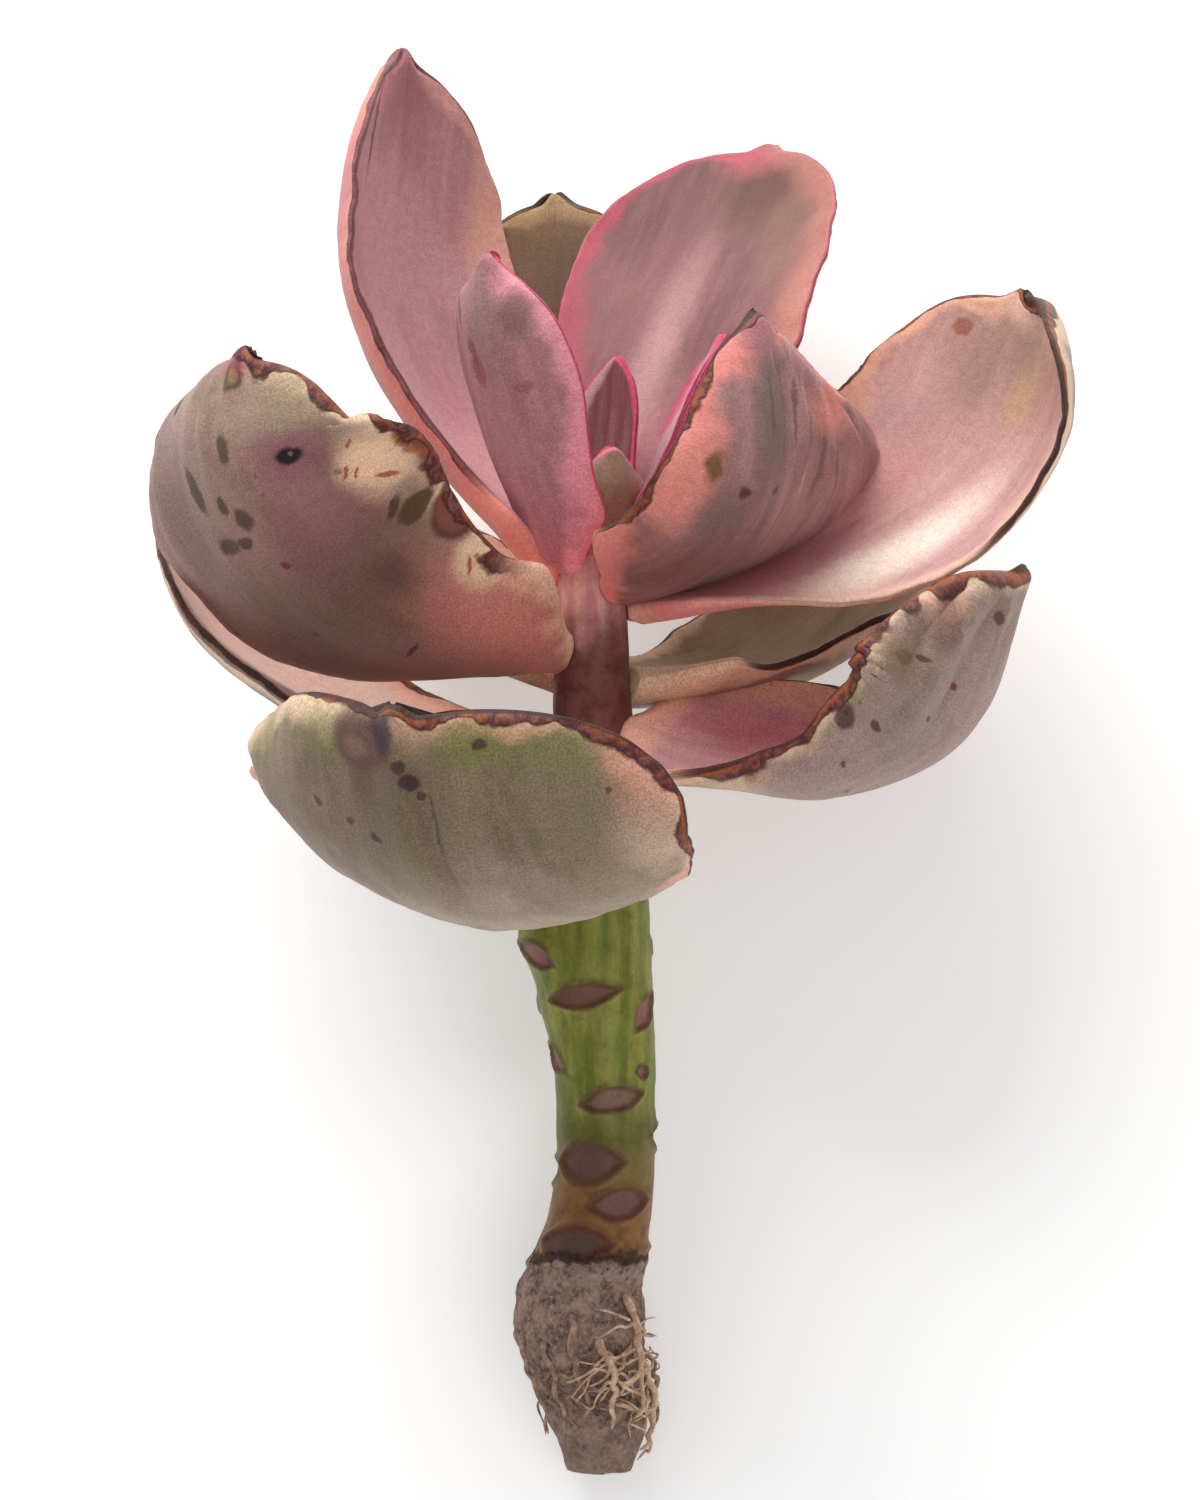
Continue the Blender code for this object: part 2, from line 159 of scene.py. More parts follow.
class Shade:
    """A material whose nodes are written as calls."""

    def __init__(self, name, specular=0.5):
        self.material = bpy.data.materials.new(name)
        self.material.use_nodes = True
        self.tree = self.material.node_tree
        self.shader = self.tree.nodes["Principled BSDF"]
        self.shader.inputs["Specular IOR Level"].default_value = specular

    def short_names(self):
        return self.mix, self.step, self.noise, self.times, self.plus

    def node(self, kind, inputs, output=0, **settings):
        made = self.tree.nodes.new("ShaderNode" + kind)
        for key, value in settings.items():
            setattr(made, key, value)
        for place, value in inputs.items():
            self.put(made.inputs[place], value)
        return made.outputs[output]

    def put(self, socket, value):
        if isinstance(value, bpy.types.NodeSocket):
            self.tree.links.new(value, socket)
        elif socket.type == "RGBA":
            socket.default_value = (*(linear(value) if isinstance(value, str) else value), 1.0)
        else:
            socket.default_value = value

    def attribute(self, name, vector=False):
        return self.node("Attribute", {}, 1 if vector else 2, attribute_name=name)

    def math(self, operation, a, b=0.0):
        return self.node("Math", {0: a, 1: b}, operation=operation)

    def plus(self, a, b):
        return self.math("ADD", a, b)

    def times(self, a, b):
        return self.math("MULTIPLY", a, b)

    def vector(self, operation, a, b=(0, 0, 0), output=0):
        return self.node("VectorMath", {0: a, 1: b}, output, operation=operation)

    def mix(self, factor, a, b, blend="MIX"):
        return self.node("Mix", {0: factor, 6: a, 7: b}, 2,
                         data_type="RGBA", blend_type=blend, clamp_factor=True)

    def blend(self, factor, a, b):
        return self.node("Mix", {0: factor, 2: a, 3: b}, clamp_factor=True)

    def step(self, value, low, high, start=0.0, end=1.0):
        inputs = {0: value, 1: low, 2: high, 3: start, 4: end}
        return self.node("MapRange", inputs, interpolation_type="SMOOTHSTEP")

    def noise(self, place, scale, detail=3.0, roughness=0.55, output=0):
        inputs = {"Vector": place, "Scale": scale, "Detail": detail, "Roughness": roughness}
        return self.node("TexNoise", inputs, output)

    def stretched(self, place, along):
        """The place with its second axis drawn out, for streaks."""
        return self.vector("MULTIPLY", place, (1.0, 1 / along, 1.0))

    def warped(self, place, scale, amount):
        """The place pushed about, so that outlines turn irregular."""
        push = self.noise(place, scale, 4.0, 0.6, 1)
        push = self.vector("SUBTRACT", push, (0.5, 0.5, 0.5))
        push = self.vector("MULTIPLY", push, (amount, amount, 0))
        return self.vector("ADD", place, push)

    def spot(self, colour, place, centre, radii, tilt, paint, soft, strength=1.0, lens=False):
        """A blemish, a scar or a patch of painted light in this colour, its edge soft over a
        share of its radius.
        """
        turned = self.vector("SUBTRACT", place, centre)
        angle = -radians(tilt)
        turned = self.node("VectorRotate", {"Vector": turned, "Angle": angle},
                           rotation_type="Z_AXIS")
        turned = self.vector("MULTIPLY", turned, (1 / radii[0], 1 / radii[1], 1.0))
        if lens:
            apart = self.node("SeparateXYZ", {0: turned}).node.outputs
            away = self.plus(self.times(apart[0], apart[0]), self.math("ABSOLUTE", apart[1]))
        else:
            away = self.vector("LENGTH", turned, output=1)
        inside = self.step(away, 1 + soft, max(1 - soft, 0.0), 0.0, strength)
        return self.mix(inside, colour, paint)

    def shaded(self, colour, level):
        """The colour made lighter or darker by a level around 1."""
        return self.vector("MULTIPLY", colour, self.node(
            "CombineXYZ", {0: level, 1: level, 2: level}))

    def finish(self, colour, roughness, height, distance):
        """Joins the results to the shader. height is in units of distance, mm."""
        self.put(self.shader.inputs["Base Color"], colour)
        self.put(self.shader.inputs["Roughness"], roughness)
        bump = self.node("Bump", {"Strength": 1.0, "Distance": distance * MM,
                                            "Height": height})
        self.put(self.shader.inputs["Normal"], bump)
        return self.material


def leaf_material(name, leaf, spots):
    """The powdery skin of one leaf, painted in the leaf's own flat coordinates."""
    shade = Shade(name, 0.22)
    mix, step, cloud, times, plus = shade.short_names()
    shade.shader.inputs["Sheen Weight"].default_value = 0.12
    shade.shader.inputs["Sheen Roughness"].default_value = 0.6
    flat = shade.attribute("flat", True)
    edge, along, across, face = map(shade.attribute, ("edge", "along", "across", "face"))
    outer, inner = leaf["outer"], leaf["inner"]
    warped = shade.warped(flat, 0.3, 2.4)
    crisp = shade.warped(flat, 0.7, 1.1)

    def two(key):
        return mix(face, outer[key], inner[key])

    climb = plus(along, plus(times(cloud(flat, 0.085, 4), 0.5), -0.25))
    colour = mix(step(climb, *leaf["rise"]), two("root"), two("body"))
    colour = mix(step(climb, 0.62, 0.98), colour, two("end"))

    patch = cloud(shade.stretched(warped, 1.8), 0.12, 5, 0.6)
    colour = mix(step(patch, 0.45, 0.66, 0, leaf["mottle"]), colour, two("mottle"))
    streak = cloud(shade.stretched(flat, 9), 0.55, 3)
    colour = mix(step(streak, 0.38, 0.72, 0, 0.4), colour, two("streak"))

    side = step(across, -0.35, 0.35)
    width = shade.blend(face, *(shade.blend(side, *look["width"]) for look in (outer, inner)))
    band = mix(face, mix(side, *outer["band"]), mix(side, *inner["band"]))
    wander = step(cloud(flat, 0.085, 3, 0.5), 0.3, 0.7, 0.3, 1.75)
    share = shade.math("DIVIDE", edge, times(width, wander))
    colour = mix(step(share, 1.7, 0.4, 0, 0.9), colour, band)

    for spot in spots:
        colour = shade.spot(colour, crisp if spot["crisp"] else warped, spot["centre"],
                            spot["size"], spot["tilt"], spot["paint"], spot["soft"],
                            spot["strength"])

    cells = shade.node("TexVoronoi", {"Vector": crisp, "Scale": 0.34}).node
    chance = shade.node("SeparateColor", {0: cells.outputs["Color"]})
    size = times(shade.math("SUBTRACT", chance, 1 - leaf["speckle"]), 0.9)
    dots = shade.math("SUBTRACT", size, cells.outputs["Distance"])
    dots = times(step(dots, 0, 0.09, 0, 0.75), step(cloud(flat, 0.1, 2), 0.42, 0.6))
    colour = mix(dots, colour, MAROON)

    start = shade.blend(side, *leaf["aged"])
    old = step(shade.math("SUBTRACT", along, start), 0, 0.12)
    rim = shade.blend(side, *leaf["rim"])
    fray = cloud(shade.stretched(flat, 2), 0.2, 2, 0.4)
    fray = step(fray, 0.36, 0.66, 0.4, 1.7)
    ragged = step(cloud(flat, 0.7, 3, 0.5), 0.3, 0.7, 0.9, 1.1)
    burnt = shade.math("DIVIDE", edge, times(times(rim, fray), ragged))
    crust = cloud(shade.warped(flat, 1, 1), 0.7, 4, 0.65)
    dried = mix(step(crust, 0.42, 0.62), MAROON, "8a5244")
    dried = mix(step(burnt, 0.6, 0.9, 0, 0.6), dried, UMBER)
    rusty = cloud(shade.stretched(flat, 2), 0.22, 4, 0.6)
    rusty = times(step(rusty, 0.45, 0.58), step(edge, 1, 0.4))
    dried = mix(times(rusty, leaf["rust"]), dried, leaf["crust"])
    dry = times(step(burnt, 1.12, 0.84), old)
    colour = mix(dry, colour, dried)
    line = times(step(edge, 0.34, 0.14, 0, leaf["line"]), old)
    colour = mix(line, colour, leaf["line_colour"])

    grain = cloud(flat, 3.6, 2, 0.6)
    pores = cloud(flat, 0.9, 4, 0.7)
    shadow = step(grain, 0.36, 0.64, 1 - leaf["grain"], 1 + leaf["grain"])
    colour = shade.shaded(colour, times(shadow, step(pores, 0.34, 0.66, 0.91, 1.07)))

    wrinkle = cloud(shade.stretched(flat, 7), 1.1, 4, 0.6)
    height = plus(plus(times(wrinkle, 0.5), times(grain, 0.3)), times(pores, 0.25))
    height = plus(height, times(times(dry, crust), 2.2))
    roughness = plus(step(pores, 0.3, 0.7, 0.56, 0.72), times(dry, -0.12))
    return shade.finish(colour, roughness, height, SKIN_RELIEF)


# ---- leaves

def skin(root, body, end, mottle, streak, band, width):
    """One face's colours, and the colour and width of its margin on the left and right."""
    return dict(root=root, body=body, end=end, mottle=mottle, streak=streak,
                band=(band, band) if isinstance(band, str) else band,
                width=width if isinstance(width, tuple) else (width, width))


def haze(along, across, wide, high, paint, strength=0.9, soft=0.8):
    """A soft patch. Its place is in percent of the leaf, its half width and height in mm."""
    return dict(along=along / 100, across=across / 100, size=(wide, high), paint=paint,
                strength=strength, soft=soft, tilt=0, crisp=False)


def fleck(along, across, wide, high, paint, tilt=0, strength=0.9, soft=0.3):
    """A mark with a sharp and ragged outline."""
    mark = haze(along, across, wide, high, paint, strength, soft)
    return {**mark, "tilt": tilt, "crisp": True}


def flecks(paint, *rows):
    """Marks of one colour, each with its place, size and perhaps its tilt."""
    return [fleck(*row[:4], paint, *row[4:]) for row in rows]


# What a leaf has unless its own row says otherwise. Pairs hold the left and right half.
LEAF_DEFAULTS = dict(
    cup=(30, 30), roll=(0, 0), neck=0.3, shoulder=(0.62, 0.62), blunt=1.7, sides=(1, 1),
    thickness=1.0, point=1.6, clasp=0.45, folds=(), outer_spots=(), inner_spots=(),
    mottle=0.7, speckle=0.12, rim=(0.5, 0.5), crust=RUST, rust=0.9, line=0.85,
    line_colour=UMBER, grain=0.16, rise=(0.05, 0.42), aged=(0.1, 0.1))

HIDDEN_FACE = skin(TAUPE, GREY_TAN, TAUPE, KHAKI, MAUVE, CREAM, 2.5)
LEAVES = {}
LEAVES["leaf_lower_front"] = dict(
    azimuth=-25, path=((4, 0), (17, -5), (31, -6), (44.5, 1), (52, 17)), width=60,
    cup=(48, (45, 40, 22, 20, 30)), roll=(0, -4, -6), neck=0.3, shoulder=(0.76, 0.76), blunt=3.2,
    sides=(1.1, 1.05), wave=1.3, ridges=0.16,
    folds=((0.1, 0.5, 0.95, 0.7, 0.5), (0.42, 0.5, 0.9, 1.2, 0.3)),
    outer=skin("b6a08a", "947e6a", "8c7a5e", "705c48", "a48a7c", (CREAM, PEACH), (2.4, 2.4)),
    inner=skin(BLUSH, PALE_PINK, TAUPE, TAUPE, HEATHER, PEACH, 3),
    rim=(0.22, 0.95), speckle=0.22, grain=0.18, rise=(0.42, 0.7),
    outer_spots=(
        haze(92, -87, 2.2, 3.2, GREEN, 0.6), haze(95, -41, 4.5, 2.4, GREEN, 0.55),
        haze(95.5, 36, 3.8, 2.8, GREEN, 0.75, 0.7), haze(93, 73, 6.5, 3, GREEN, 0.5),
        haze(84, -5, 7, 9, "68563e", 0.6), haze(80, 60, 7, 6, "7e7256", 0.4),
        haze(68, -10, 5, 6, "7a6e48", 0.35), haze(73.5, 97, 6, 6.5, "d6b498", 0.85, 0.7),
        haze(88, 96, 3.8, 5, SALMON, 0.4), haze(90, -20, 1.7, 4.2, BROWN, 0.55, 0.7),
        fleck(95, -20, 4.3, 3.3, "68463a", soft=0.25),
        haze(97.5, -8, 1.5, 2.8, "462a3a", 0.9, 0.4),
        fleck(94, -22, 1.6, 1.2, "8c6858", soft=0.6), fleck(88, 3, 1.1, 1, "3a1e26"),
        fleck(91, 0, 0.8, 0.8, "4a282c"), fleck(95, 41, 0.8, 0.7, "54362c"),
        *flecks("68342e", (82, -41, 0.9, 0.5, -50), (79, -26, 0.6, 0.5)),
        fleck(76.5, -15, 0.9, 0.55, "4a282c", -50), fleck(85.5, 6, 0.5, 0.45, "542c2c"),
        haze(80, 10, 0.28, 3.4, "5c4e42", 0.7, 0.5)))
LEAVES["leaf_lower_right"] = dict(
    azimuth=76, path=((4, 15), (17, 12), (32, 10), (45, 16.5), (51.5, 33.5)), width=44,
    cup=((10, 70, 95, 95, 80), 35), roll=(35, 32, 10, 0, 0), neck=0.34, shoulder=(0.7, 0.7),
    blunt=2.3, wave=1.4, ridges=0.22, folds=((-0.88, 0.6, 1, 1.5, -0.7),
    (-0.74, 0.6, 1, 1.1, 0.55), (-0.58, 0.5, 1, 1.6, -0.7), (-0.42, 0.55, 1, 1.2, 0.5)),
    outer=skin("ccb8a0", "a68c82", "a08678", "7a6250", "b69890", (CREAM, PEACH), (1.5, 1.4)),
    inner=skin(BLUSH, HEATHER, PALE_PINK, MAUVE, PALE_PINK, PEACH, 3),
    rim=(1.35, 0.4), speckle=0.3, grain=0.15,
    outer_spots=(
        haze(66, -60, 7, 9, "988678", 0.5), haze(56, -90, 1.8, 2.2, GREEN, 0.6),
        haze(77, -77, 2.8, 3.4, KHAKI, 0.75, 0.7),
        fleck(79, -78, 1.2, 1.1, "705432", strength=0.7), haze(93, -85, 2.6, 3, PEACH, 0.7, 0.7),
        haze(90, -70, 1.5, 4, "7c5e50", 0.7, 0.7), haze(92, -40, 1.8, 4, "96786c", 0.6, 0.7),
        fleck(52, -86, 1.5, 1.4, "54342e", soft=0.25), fleck(58, -68, 0.8, 0.7, "603432"),
        fleck(80, -67, 0.8, 0.5, BROWN), fleck(77, -38, 0.5, 0.5, "7c2c3e"),
        fleck(92, -29, 0.8, 0.8, "602a30"), *flecks(BROWN, (48, -62, 0.45, 0.4),
        (68, -48, 0.5, 0.4)), fleck(30, -84, 1.3, 0.9, "965c3e"),
        haze(24, -80, 4, 4, CREAM, 0.6)),
    inner_spots=(
        haze(30, 25, 5, 11, ROSE, 0.55),))
LEAVES["leaf_lower_left_back"] = dict(
    azimuth=-106, path=((4, 15), (18, 14), (33, 17), (46, 27), (54, 43)), width=38,
    roll=(0, -15), neck=0.3, wave=1, ridges=0.12,
    outer=skin(TAUPE, GREY_TAN, TAUPE, KHAKI, GREY_TAN, CREAM, 2.5),
    inner=skin(PALE_PINK, "d0b2a4", "caaa9c", "c8a89a", PALE_PINK, PEACH, 2.5),
    rim=(1.2, 0.9), speckle=0.1, mottle=0.5, grain=0.1)
LEAVES["leaf_lower_right_back"] = dict(
    azimuth=128, path=((4, 21), (18, 20), (32, 24), (44, 31), (52, 40)), width=38, cup=(25, 40),
    neck=0.5, wave=0.9, ridges=0.12,
    outer=skin(TAUPE, KHAKI, TAUPE, OLIVE, GREY_TAN, CREAM, 2.5),
    inner=skin("b8a27e", "927a5a", "8c7658", "745e40", "aa8c70", CREAM, 1.6),
    rim=(0.25, 0.25), speckle=0.08)
LEAVES["leaf_left"] = dict(
    azimuth=-66, path=((4, 25), (18, 26), (31, 30.5), (41.5, 39.5), (46, 49.5), (44.5, 59)),
    width=37, cup=(35, 55), roll=(15, 40, 35, 20), neck=0.36, blunt=2.6, sides=(1.1, 1.16),
    wave=0.9, ridges=0.2,
    outer=skin("ac7064", "9c7668", "a88e7c", "765c48", "ac807a", (MAUVE, CREAM), (1.2, 2.4)),
    inner=skin(BLUSH, PALE_PINK, BLUSH, MAUVE, HEATHER, PEACH, 3.5),
    rim=(0.4, 1.7), speckle=0.3, grain=0.15,
    outer_spots=(
        haze(34, -20, 9, 11, "604638", 0.6), haze(50, 30, 7, 7, "624a3c", 0.55),
        haze(65, 30, 6, 7, "a06c70", 0.5), haze(80, -60, 4, 12, "b89894", 0.6),
        haze(93, 50, 4.5, 4, "a08c70", 0.6), haze(20, 60, 6, 8, "d88a7c", 0.75),
        fleck(25, 84, 3.4, 3.8, CREAM, soft=0.4), haze(68, 72, 3.4, 6.5, "fcd2b0", 1, 0.6),
        fleck(35.5, 98, 4.4, 5.2, UMBER, soft=0.15),
        fleck(36, 100, 4.2, 4.8, "8c5044", soft=0.2), fleck(52, 102, 3.2, 6, "6e3e38", soft=0.25),
        haze(50, -30, 5, 6, "684e3c", 0.6, 0.9), haze(58, 10, 3, 4.5, "805456", 0.5, 0.9),
        haze(87, 10, 4, 3.5, "b09280", 0.6), haze(72, -60, 3, 6, "765c50", 0.6, 0.9),
        haze(42, 35, 2.2, 3.4, "563a30", 0.55), fleck(68, 100, 2.7, 7.6, RUST, soft=0.15),
        fleck(68, 102, 2.3, 7, "7a463e", soft=0.2), fleck(48.5, 72, 2.6, 2.2, "523e22", soft=0.2),
        fleck(53.5, 64, 1.9, 0.6, "523e22", 35, soft=0.3),
        haze(55, 76, 1.5, 1.5, GREY_TAN, 0.7, 0.6), *flecks(RUST, (61, 73, 1.4, 0.5, -45),
        (69, 58, 1.2, 0.3, 60), (67, 62, 1, 0.25, 60), (77, 70, 1.1, 0.25, 70),
        (27, 72, 1.2, 0.3, 20)), haze(79, 38, 3.8, 3.2, "96566c", 0.75, 0.7),
        fleck(79, 38, 1.6, 1.2, SOOT, strength=1, soft=0.3),
        fleck(79.5, 39, 0.4, 0.35, "787068"), haze(95.5, -2, 1.7, 1.5, "483a1c", 0.9, 0.25),
        haze(95.5, -2, 1, 0.8, "967454", 0.9, 0.4), haze(99, 5, 2.4, 1.6, MAGENTA, 0.7, 0.7),
        fleck(77, -38, 0.9, 2.6, "523c28", 15), fleck(83, -3, 0.8, 1.7, "58422a"),
        fleck(73.5, -17, 0.7, 1, "523c28"), *flecks("4c3424", (70, -7, 1.2, 1.4),
        (66.5, -30, 1.7, 1), (66, -16, 1.1, 0.7)), fleck(91, -80, 0.6, 1.1, SOOT),
        fleck(59, -3, 0.5, 0.5, "7c1820"), fleck(30, -7, 1.2, 0.4, "401e1a")))
LEAVES["leaf_left_back"] = dict(
    azimuth=-150, path=((4, 22), (18, 24), (32, 29), (44, 36), (50, 44)), width=32,
    neck=0.26, wave=0.9, ridges=0.12,
    outer=HIDDEN_FACE,
    inner=skin(BLUSH, PALE_PINK, MAUVE, TAUPE, HEATHER, PEACH, 3),
    rim=(0.6, 0.6))
LEAVES["leaf_right"] = dict(
    azimuth=100, path=((4, 30.5), (20, 35), (36, 42), (47, 53), (53, 68)), width=43,
    cup=((40, 30, 55, 100), 15), roll=(20, 42, 40), neck=0.22, shoulder=(0.7, 0.7), blunt=2.5,
    sides=(1.25, 0.84), wave=1, ridges=0.12,
    outer=skin(BLUSH, TAUPE, TAUPE, KHAKI, MAUVE, (CREAM, CREAM), (3, 2.5)),
    inner=skin(ROSE, "ca9a98", "b2887a", "ba8e88", "daaaa8", ("ecc4b0", PEACH), (3.2, 3.4)),
    mottle=0.5, rim=(0.7, 0.4), speckle=0.04, grain=0.08, aged=(0.5, 0.4),
    outer_spots=(
        # Painted light: the pink patch at the base is painted lighter than its own pink, where
        # the underside lies in shade.
        haze(12, -90, 6, 14, "f09292"),),
    inner_spots=(
        haze(20, 10, 7, 12, MAGENTA, 0.7, 0.9), haze(15, -90, 4.5, 13, "dc7e82", 0.85),
        # The second patch is a cream streak painted near white: partly the streak's own cream,
        # partly painted light on the lower inner face.
        haze(42, 20, 3.5, 12, "d68a90", 0.6, 0.9), haze(46, -50, 3.8, 12, "ffecdc", 0.95),
        haze(82, -29, 2.4, 3.4, "b89c70", 0.7), haze(86, 10, 4.5, 6, "9c7e70", 0.65),
        haze(92, -25, 3, 4, "967c68", 0.65), haze(70, 35, 3.5, 4.5, "b68a8a", 0.5, 0.9),
        fleck(93, 45, 1.4, 1.1, "964234", strength=0.7)))
LEAVES["leaf_back"] = dict(
    azimuth=186, path=((4, 31), (17, 41), (30, 56), (41, 71), (47, 84)), width=32,
    neck=0.24, wave=1.1, ridges=0.14,
    outer=HIDDEN_FACE,
    inner=skin("5c4230", "644632", "74583e", "443020", "7c5c44", "ac8a64", 1.5),
    rim=(0.4, 0.3), crust=OLIVE)
LEAVES["leaf_front_right"] = dict(
    azimuth=48, path=((4, 33), (14, 34), (23, 39), (28, 49), (26, 63)), width=48, cup=(70, 12),
    roll=(0, 5, 10), neck=0.42, shoulder=(0.42, 0.66), sides=(0.58, 1.42), wave=0.8, ridges=0.26,
    folds=((0.06, 0.55, 0.97, 0.8, 0.8), (0.16, 0.5, 0.97, 0.8, -0.9),
    (0.27, 0.55, 0.97, 0.7, 0.8), (0.4, 0.45, 0.97, 1, -1.2), (0.52, 0.5, 0.95, 0.8, 0.9),
    (0.66, 0.45, 0.95, 0.9, -0.7), (0.78, 0.5, 0.95, 0.8, 0.6)),
    outer=skin("80463c", "9e7470", "be8886", "7a5854", "ce9c9a", ("f29288", SALMON), (3.2, 2.2)),
    inner=skin(BLUSH, MAUVE, MAUVE, TAUPE, HEATHER, PINK, 3),
    rim=(0.7, 0.5), speckle=0.14, grain=0.1, mottle=0.8,
    outer_spots=(
        haze(30, -10, 8, 7, "6c3c32", 0.7), haze(55, -75, 3.2, 7, SALMON, 0.85, 0.6),
        haze(50, -35, 3, 4, "765c52", 0.7, 0.6), haze(80, -2, 3.2, 8.5, "76625e", 0.85, 0.5),
        fleck(80, 4, 0.35, 5, "54403c", strength=0.6),
        fleck(78, 13, 0.3, 4, "54403c", strength=0.6),
        fleck(79, -10, 0.3, 3.5, "54403c", strength=0.5),
        haze(70, 26, 0.4, 7, "e2b8b6", 0.7, 0.7), haze(68, 36, 0.35, 6.5, "684648", 0.6, 0.7),
        haze(66, 44, 0.4, 6.5, "deb2b0", 0.6, 0.7), haze(64, 54, 0.35, 6, "684648", 0.5, 0.7),
        haze(80, 20, 0.35, 6, "e8b4b0", 0.6, 0.7), haze(80, 50, 5, 3.5, SALMON, 0.75, 0.6),
        haze(72, 62, 2.6, 2.6, "966a68", 0.7, 0.6), haze(96, -10, 3, 2.4, "b4747c", 0.7),
        haze(62, -61, 1, 1.9, "70522c", 0.9, 0.5), haze(57, -25, 0.7, 0.7, MAROON, 0.9, 0.5),
        haze(58, 5, 0.5, 0.5, MAROON, 0.9, 0.5), haze(72, 95, 1.4, 5, "e8b2ac", 0.7, 0.6)))
LEAVES["leaf_upper_left"] = dict(
    azimuth=-127, path=((3, 34), (16.5, 45), (27, 59), (32, 77), (29.5, 98.5)), width=41,
    cup=(20, 60), neck=0.32, wave=0.9, ridges=0.1,
    outer=skin(BLUSH, HEATHER, MAUVE, TAUPE, PALE_PINK, (SALMON, SALMON), (3, 3)),
    inner=skin("d8989e", "d6a0a2", "b68282", "b28084", "d6a6a8", ("e8aca2", "e896a0"),
               (1.8, 2.2)),
    mottle=0.5, rim=(0.12, 0.35), speckle=0.02, grain=0.08, crust=WINE, line=0.6,
    line_colour="96585c",
    outer_spots=(
        haze(75, 80, 2.5, 14, ROSE, 0.7),),
    inner_spots=(
        haze(71, -80, 3.4, 8, PEACH, 0.85), haze(97, 10, 5, 5, "925258", 0.65),
        haze(87, -16, 2.6, 3.4, "aa6c6e", 0.5), haze(40, -10, 4, 9, "d88e9a", 0.5, 0.9),
        haze(90, 55, 0.5, 7, "70383a", 0.8, 0.5)))
LEAVES["leaf_upper_right"] = dict(
    azimuth=148, path=((3, 36), (12, 51), (24, 67), (34.5, 79), (42, 89)), width=40, cup=(25, 30),
    neck=0.24, shoulder=(0.48, 0.7), blunt=2, sides=(1.04, 0.93), wave=0.7, ridges=0.12,
    outer=skin(BLUSH, MAUVE, TAUPE, TAUPE, HEATHER, (PEACH, ROSE), (4, 3)),
    inner=skin("d49296", "8e6261", "6c4a42", "764e4c", "a47274", ("bc786c", "bc5466"),
               (2.8, 2.6)),
    mottle=0.6, rim=(0.1, 0.1), speckle=0.03, grain=0.08, crust=WINE, line=0.7,
    line_colour=ROSE,
    inner_spots=(
        haze(48, -98, 4.5, 9, "ce8c7c", 0.85), haze(45, 12, 2.6, 16, "dcacac", 0.55, 0.9),
        haze(88, -15, 4.5, 5.5, "6a4a3c", 0.85, 0.9), haze(78, -55, 3, 5, "886654", 0.65),
        haze(66, -60, 3.5, 4, "926c5e", 0.6), haze(72, 40, 2.2, 2.6, "92565c", 0.5),
        haze(96, 0, 5, 2, ROSE, 0.5)))
LEAVES["leaf_inner_left"] = dict(
    azimuth=-45, path=((3, 35), (9, 45), (14, 56), (17, 65), (17, 70.5)), width=26, cup=(50, 45),
    neck=0.34, sides=(1, 0.74), wave=0.4, ridges=0.14,
    folds=((-0.35, 0.2, 0.9, 0.9, -0.3), (-0.6, 0.2, 0.9, 0.7, 0.25)),
    outer=skin("b06a74", "b07c82", "b88a8e", "94686a", "c89aa2", ("ccacb6", "f8a2b0"),
               (1.5, 2.6)),
    inner=skin(BLUSH, MAUVE, MAUVE, TAUPE, PALE_PINK, PINK, 2.5),
    mottle=0.55, rim=(0.12, 0.12), speckle=0.12, grain=0.12, crust=MAGENTA, line_colour=HOT_PINK,
    outer_spots=(
        fleck(84, 50, 2.2, 2.8, "82685a", strength=0.8, soft=0.5),
        haze(80, -5, 2.2, 5, "9c7c7c", 0.6), fleck(68, -26, 1.1, 2, "924c50", strength=0.75),
        fleck(74, -30, 0.4, 1.8, "844248", strength=0.7),
        fleck(86, -50, 0.35, 2.4, "8c4c58", 12, strength=0.7),
        fleck(62, 30, 1.4, 0.7, "965a5c", strength=0.6), haze(97, 0, 2.2, 1.8, "96606a", 0.7)))
LEAVES["leaf_inner_right"] = dict(
    azimuth=98, path=((2.5, 37), (8, 44), (12.5, 53), (16, 62)), width=13, cup=(50, 50),
    neck=0.32, wave=0.3, ridges=0.06,
    outer=skin(MAUVE, LILAC, LILAC, HEATHER, LILAC, PINK, 1.2),
    inner=skin(BLUSH, LILAC, LILAC, HEATHER, PALE_PINK, HOT_PINK, 1.2),
    rim=(0.12, 0.12), speckle=0, grain=0.08, crust=MAGENTA, line_colour=HOT_PINK)
LEAVES["leaf_bud_back"] = dict(
    azimuth=140, path=((2, 37.5), (3, 46), (4, 54), (4.5, 60)), width=10.5, cup=(28, 28),
    neck=0.5, thickness=0.6, wave=0.15, ridges=0.04,
    outer=skin(MAUVE, WINE, WINE, KHAKI, MAUVE, HOT_PINK, 0.6),
    inner=skin(MAUVE, "703a3e", "7c4046", "6a423e", MAUVE, (HOT_PINK, "c4a0a0"), (0.6, 1.4)),
    rim=(0.08, 0.08), speckle=0, grain=0.08, crust=MAGENTA, line_colour=HOT_PINK)
LEAVES["leaf_bud_front"] = dict(
    azimuth=35, path=((2.5, 35), (4, 40), (5, 44.5), (4, 48.5)), width=10.5, cup=(25, 25),
    neck=0.5, thickness=0.6, wave=0.15, ridges=0.04,
    outer=skin("96785c", "947a60", "a07e70", "846c54", GREY_TAN, PINK, 0.6),
    inner=skin("a88466", "a8866c", "b08a7c", "96785e", GREY_TAN, PINK, 0.6),
    rim=(0.08, 0.08), speckle=0, grain=0.08, crust=MAGENTA, line_colour=HOT_PINK)

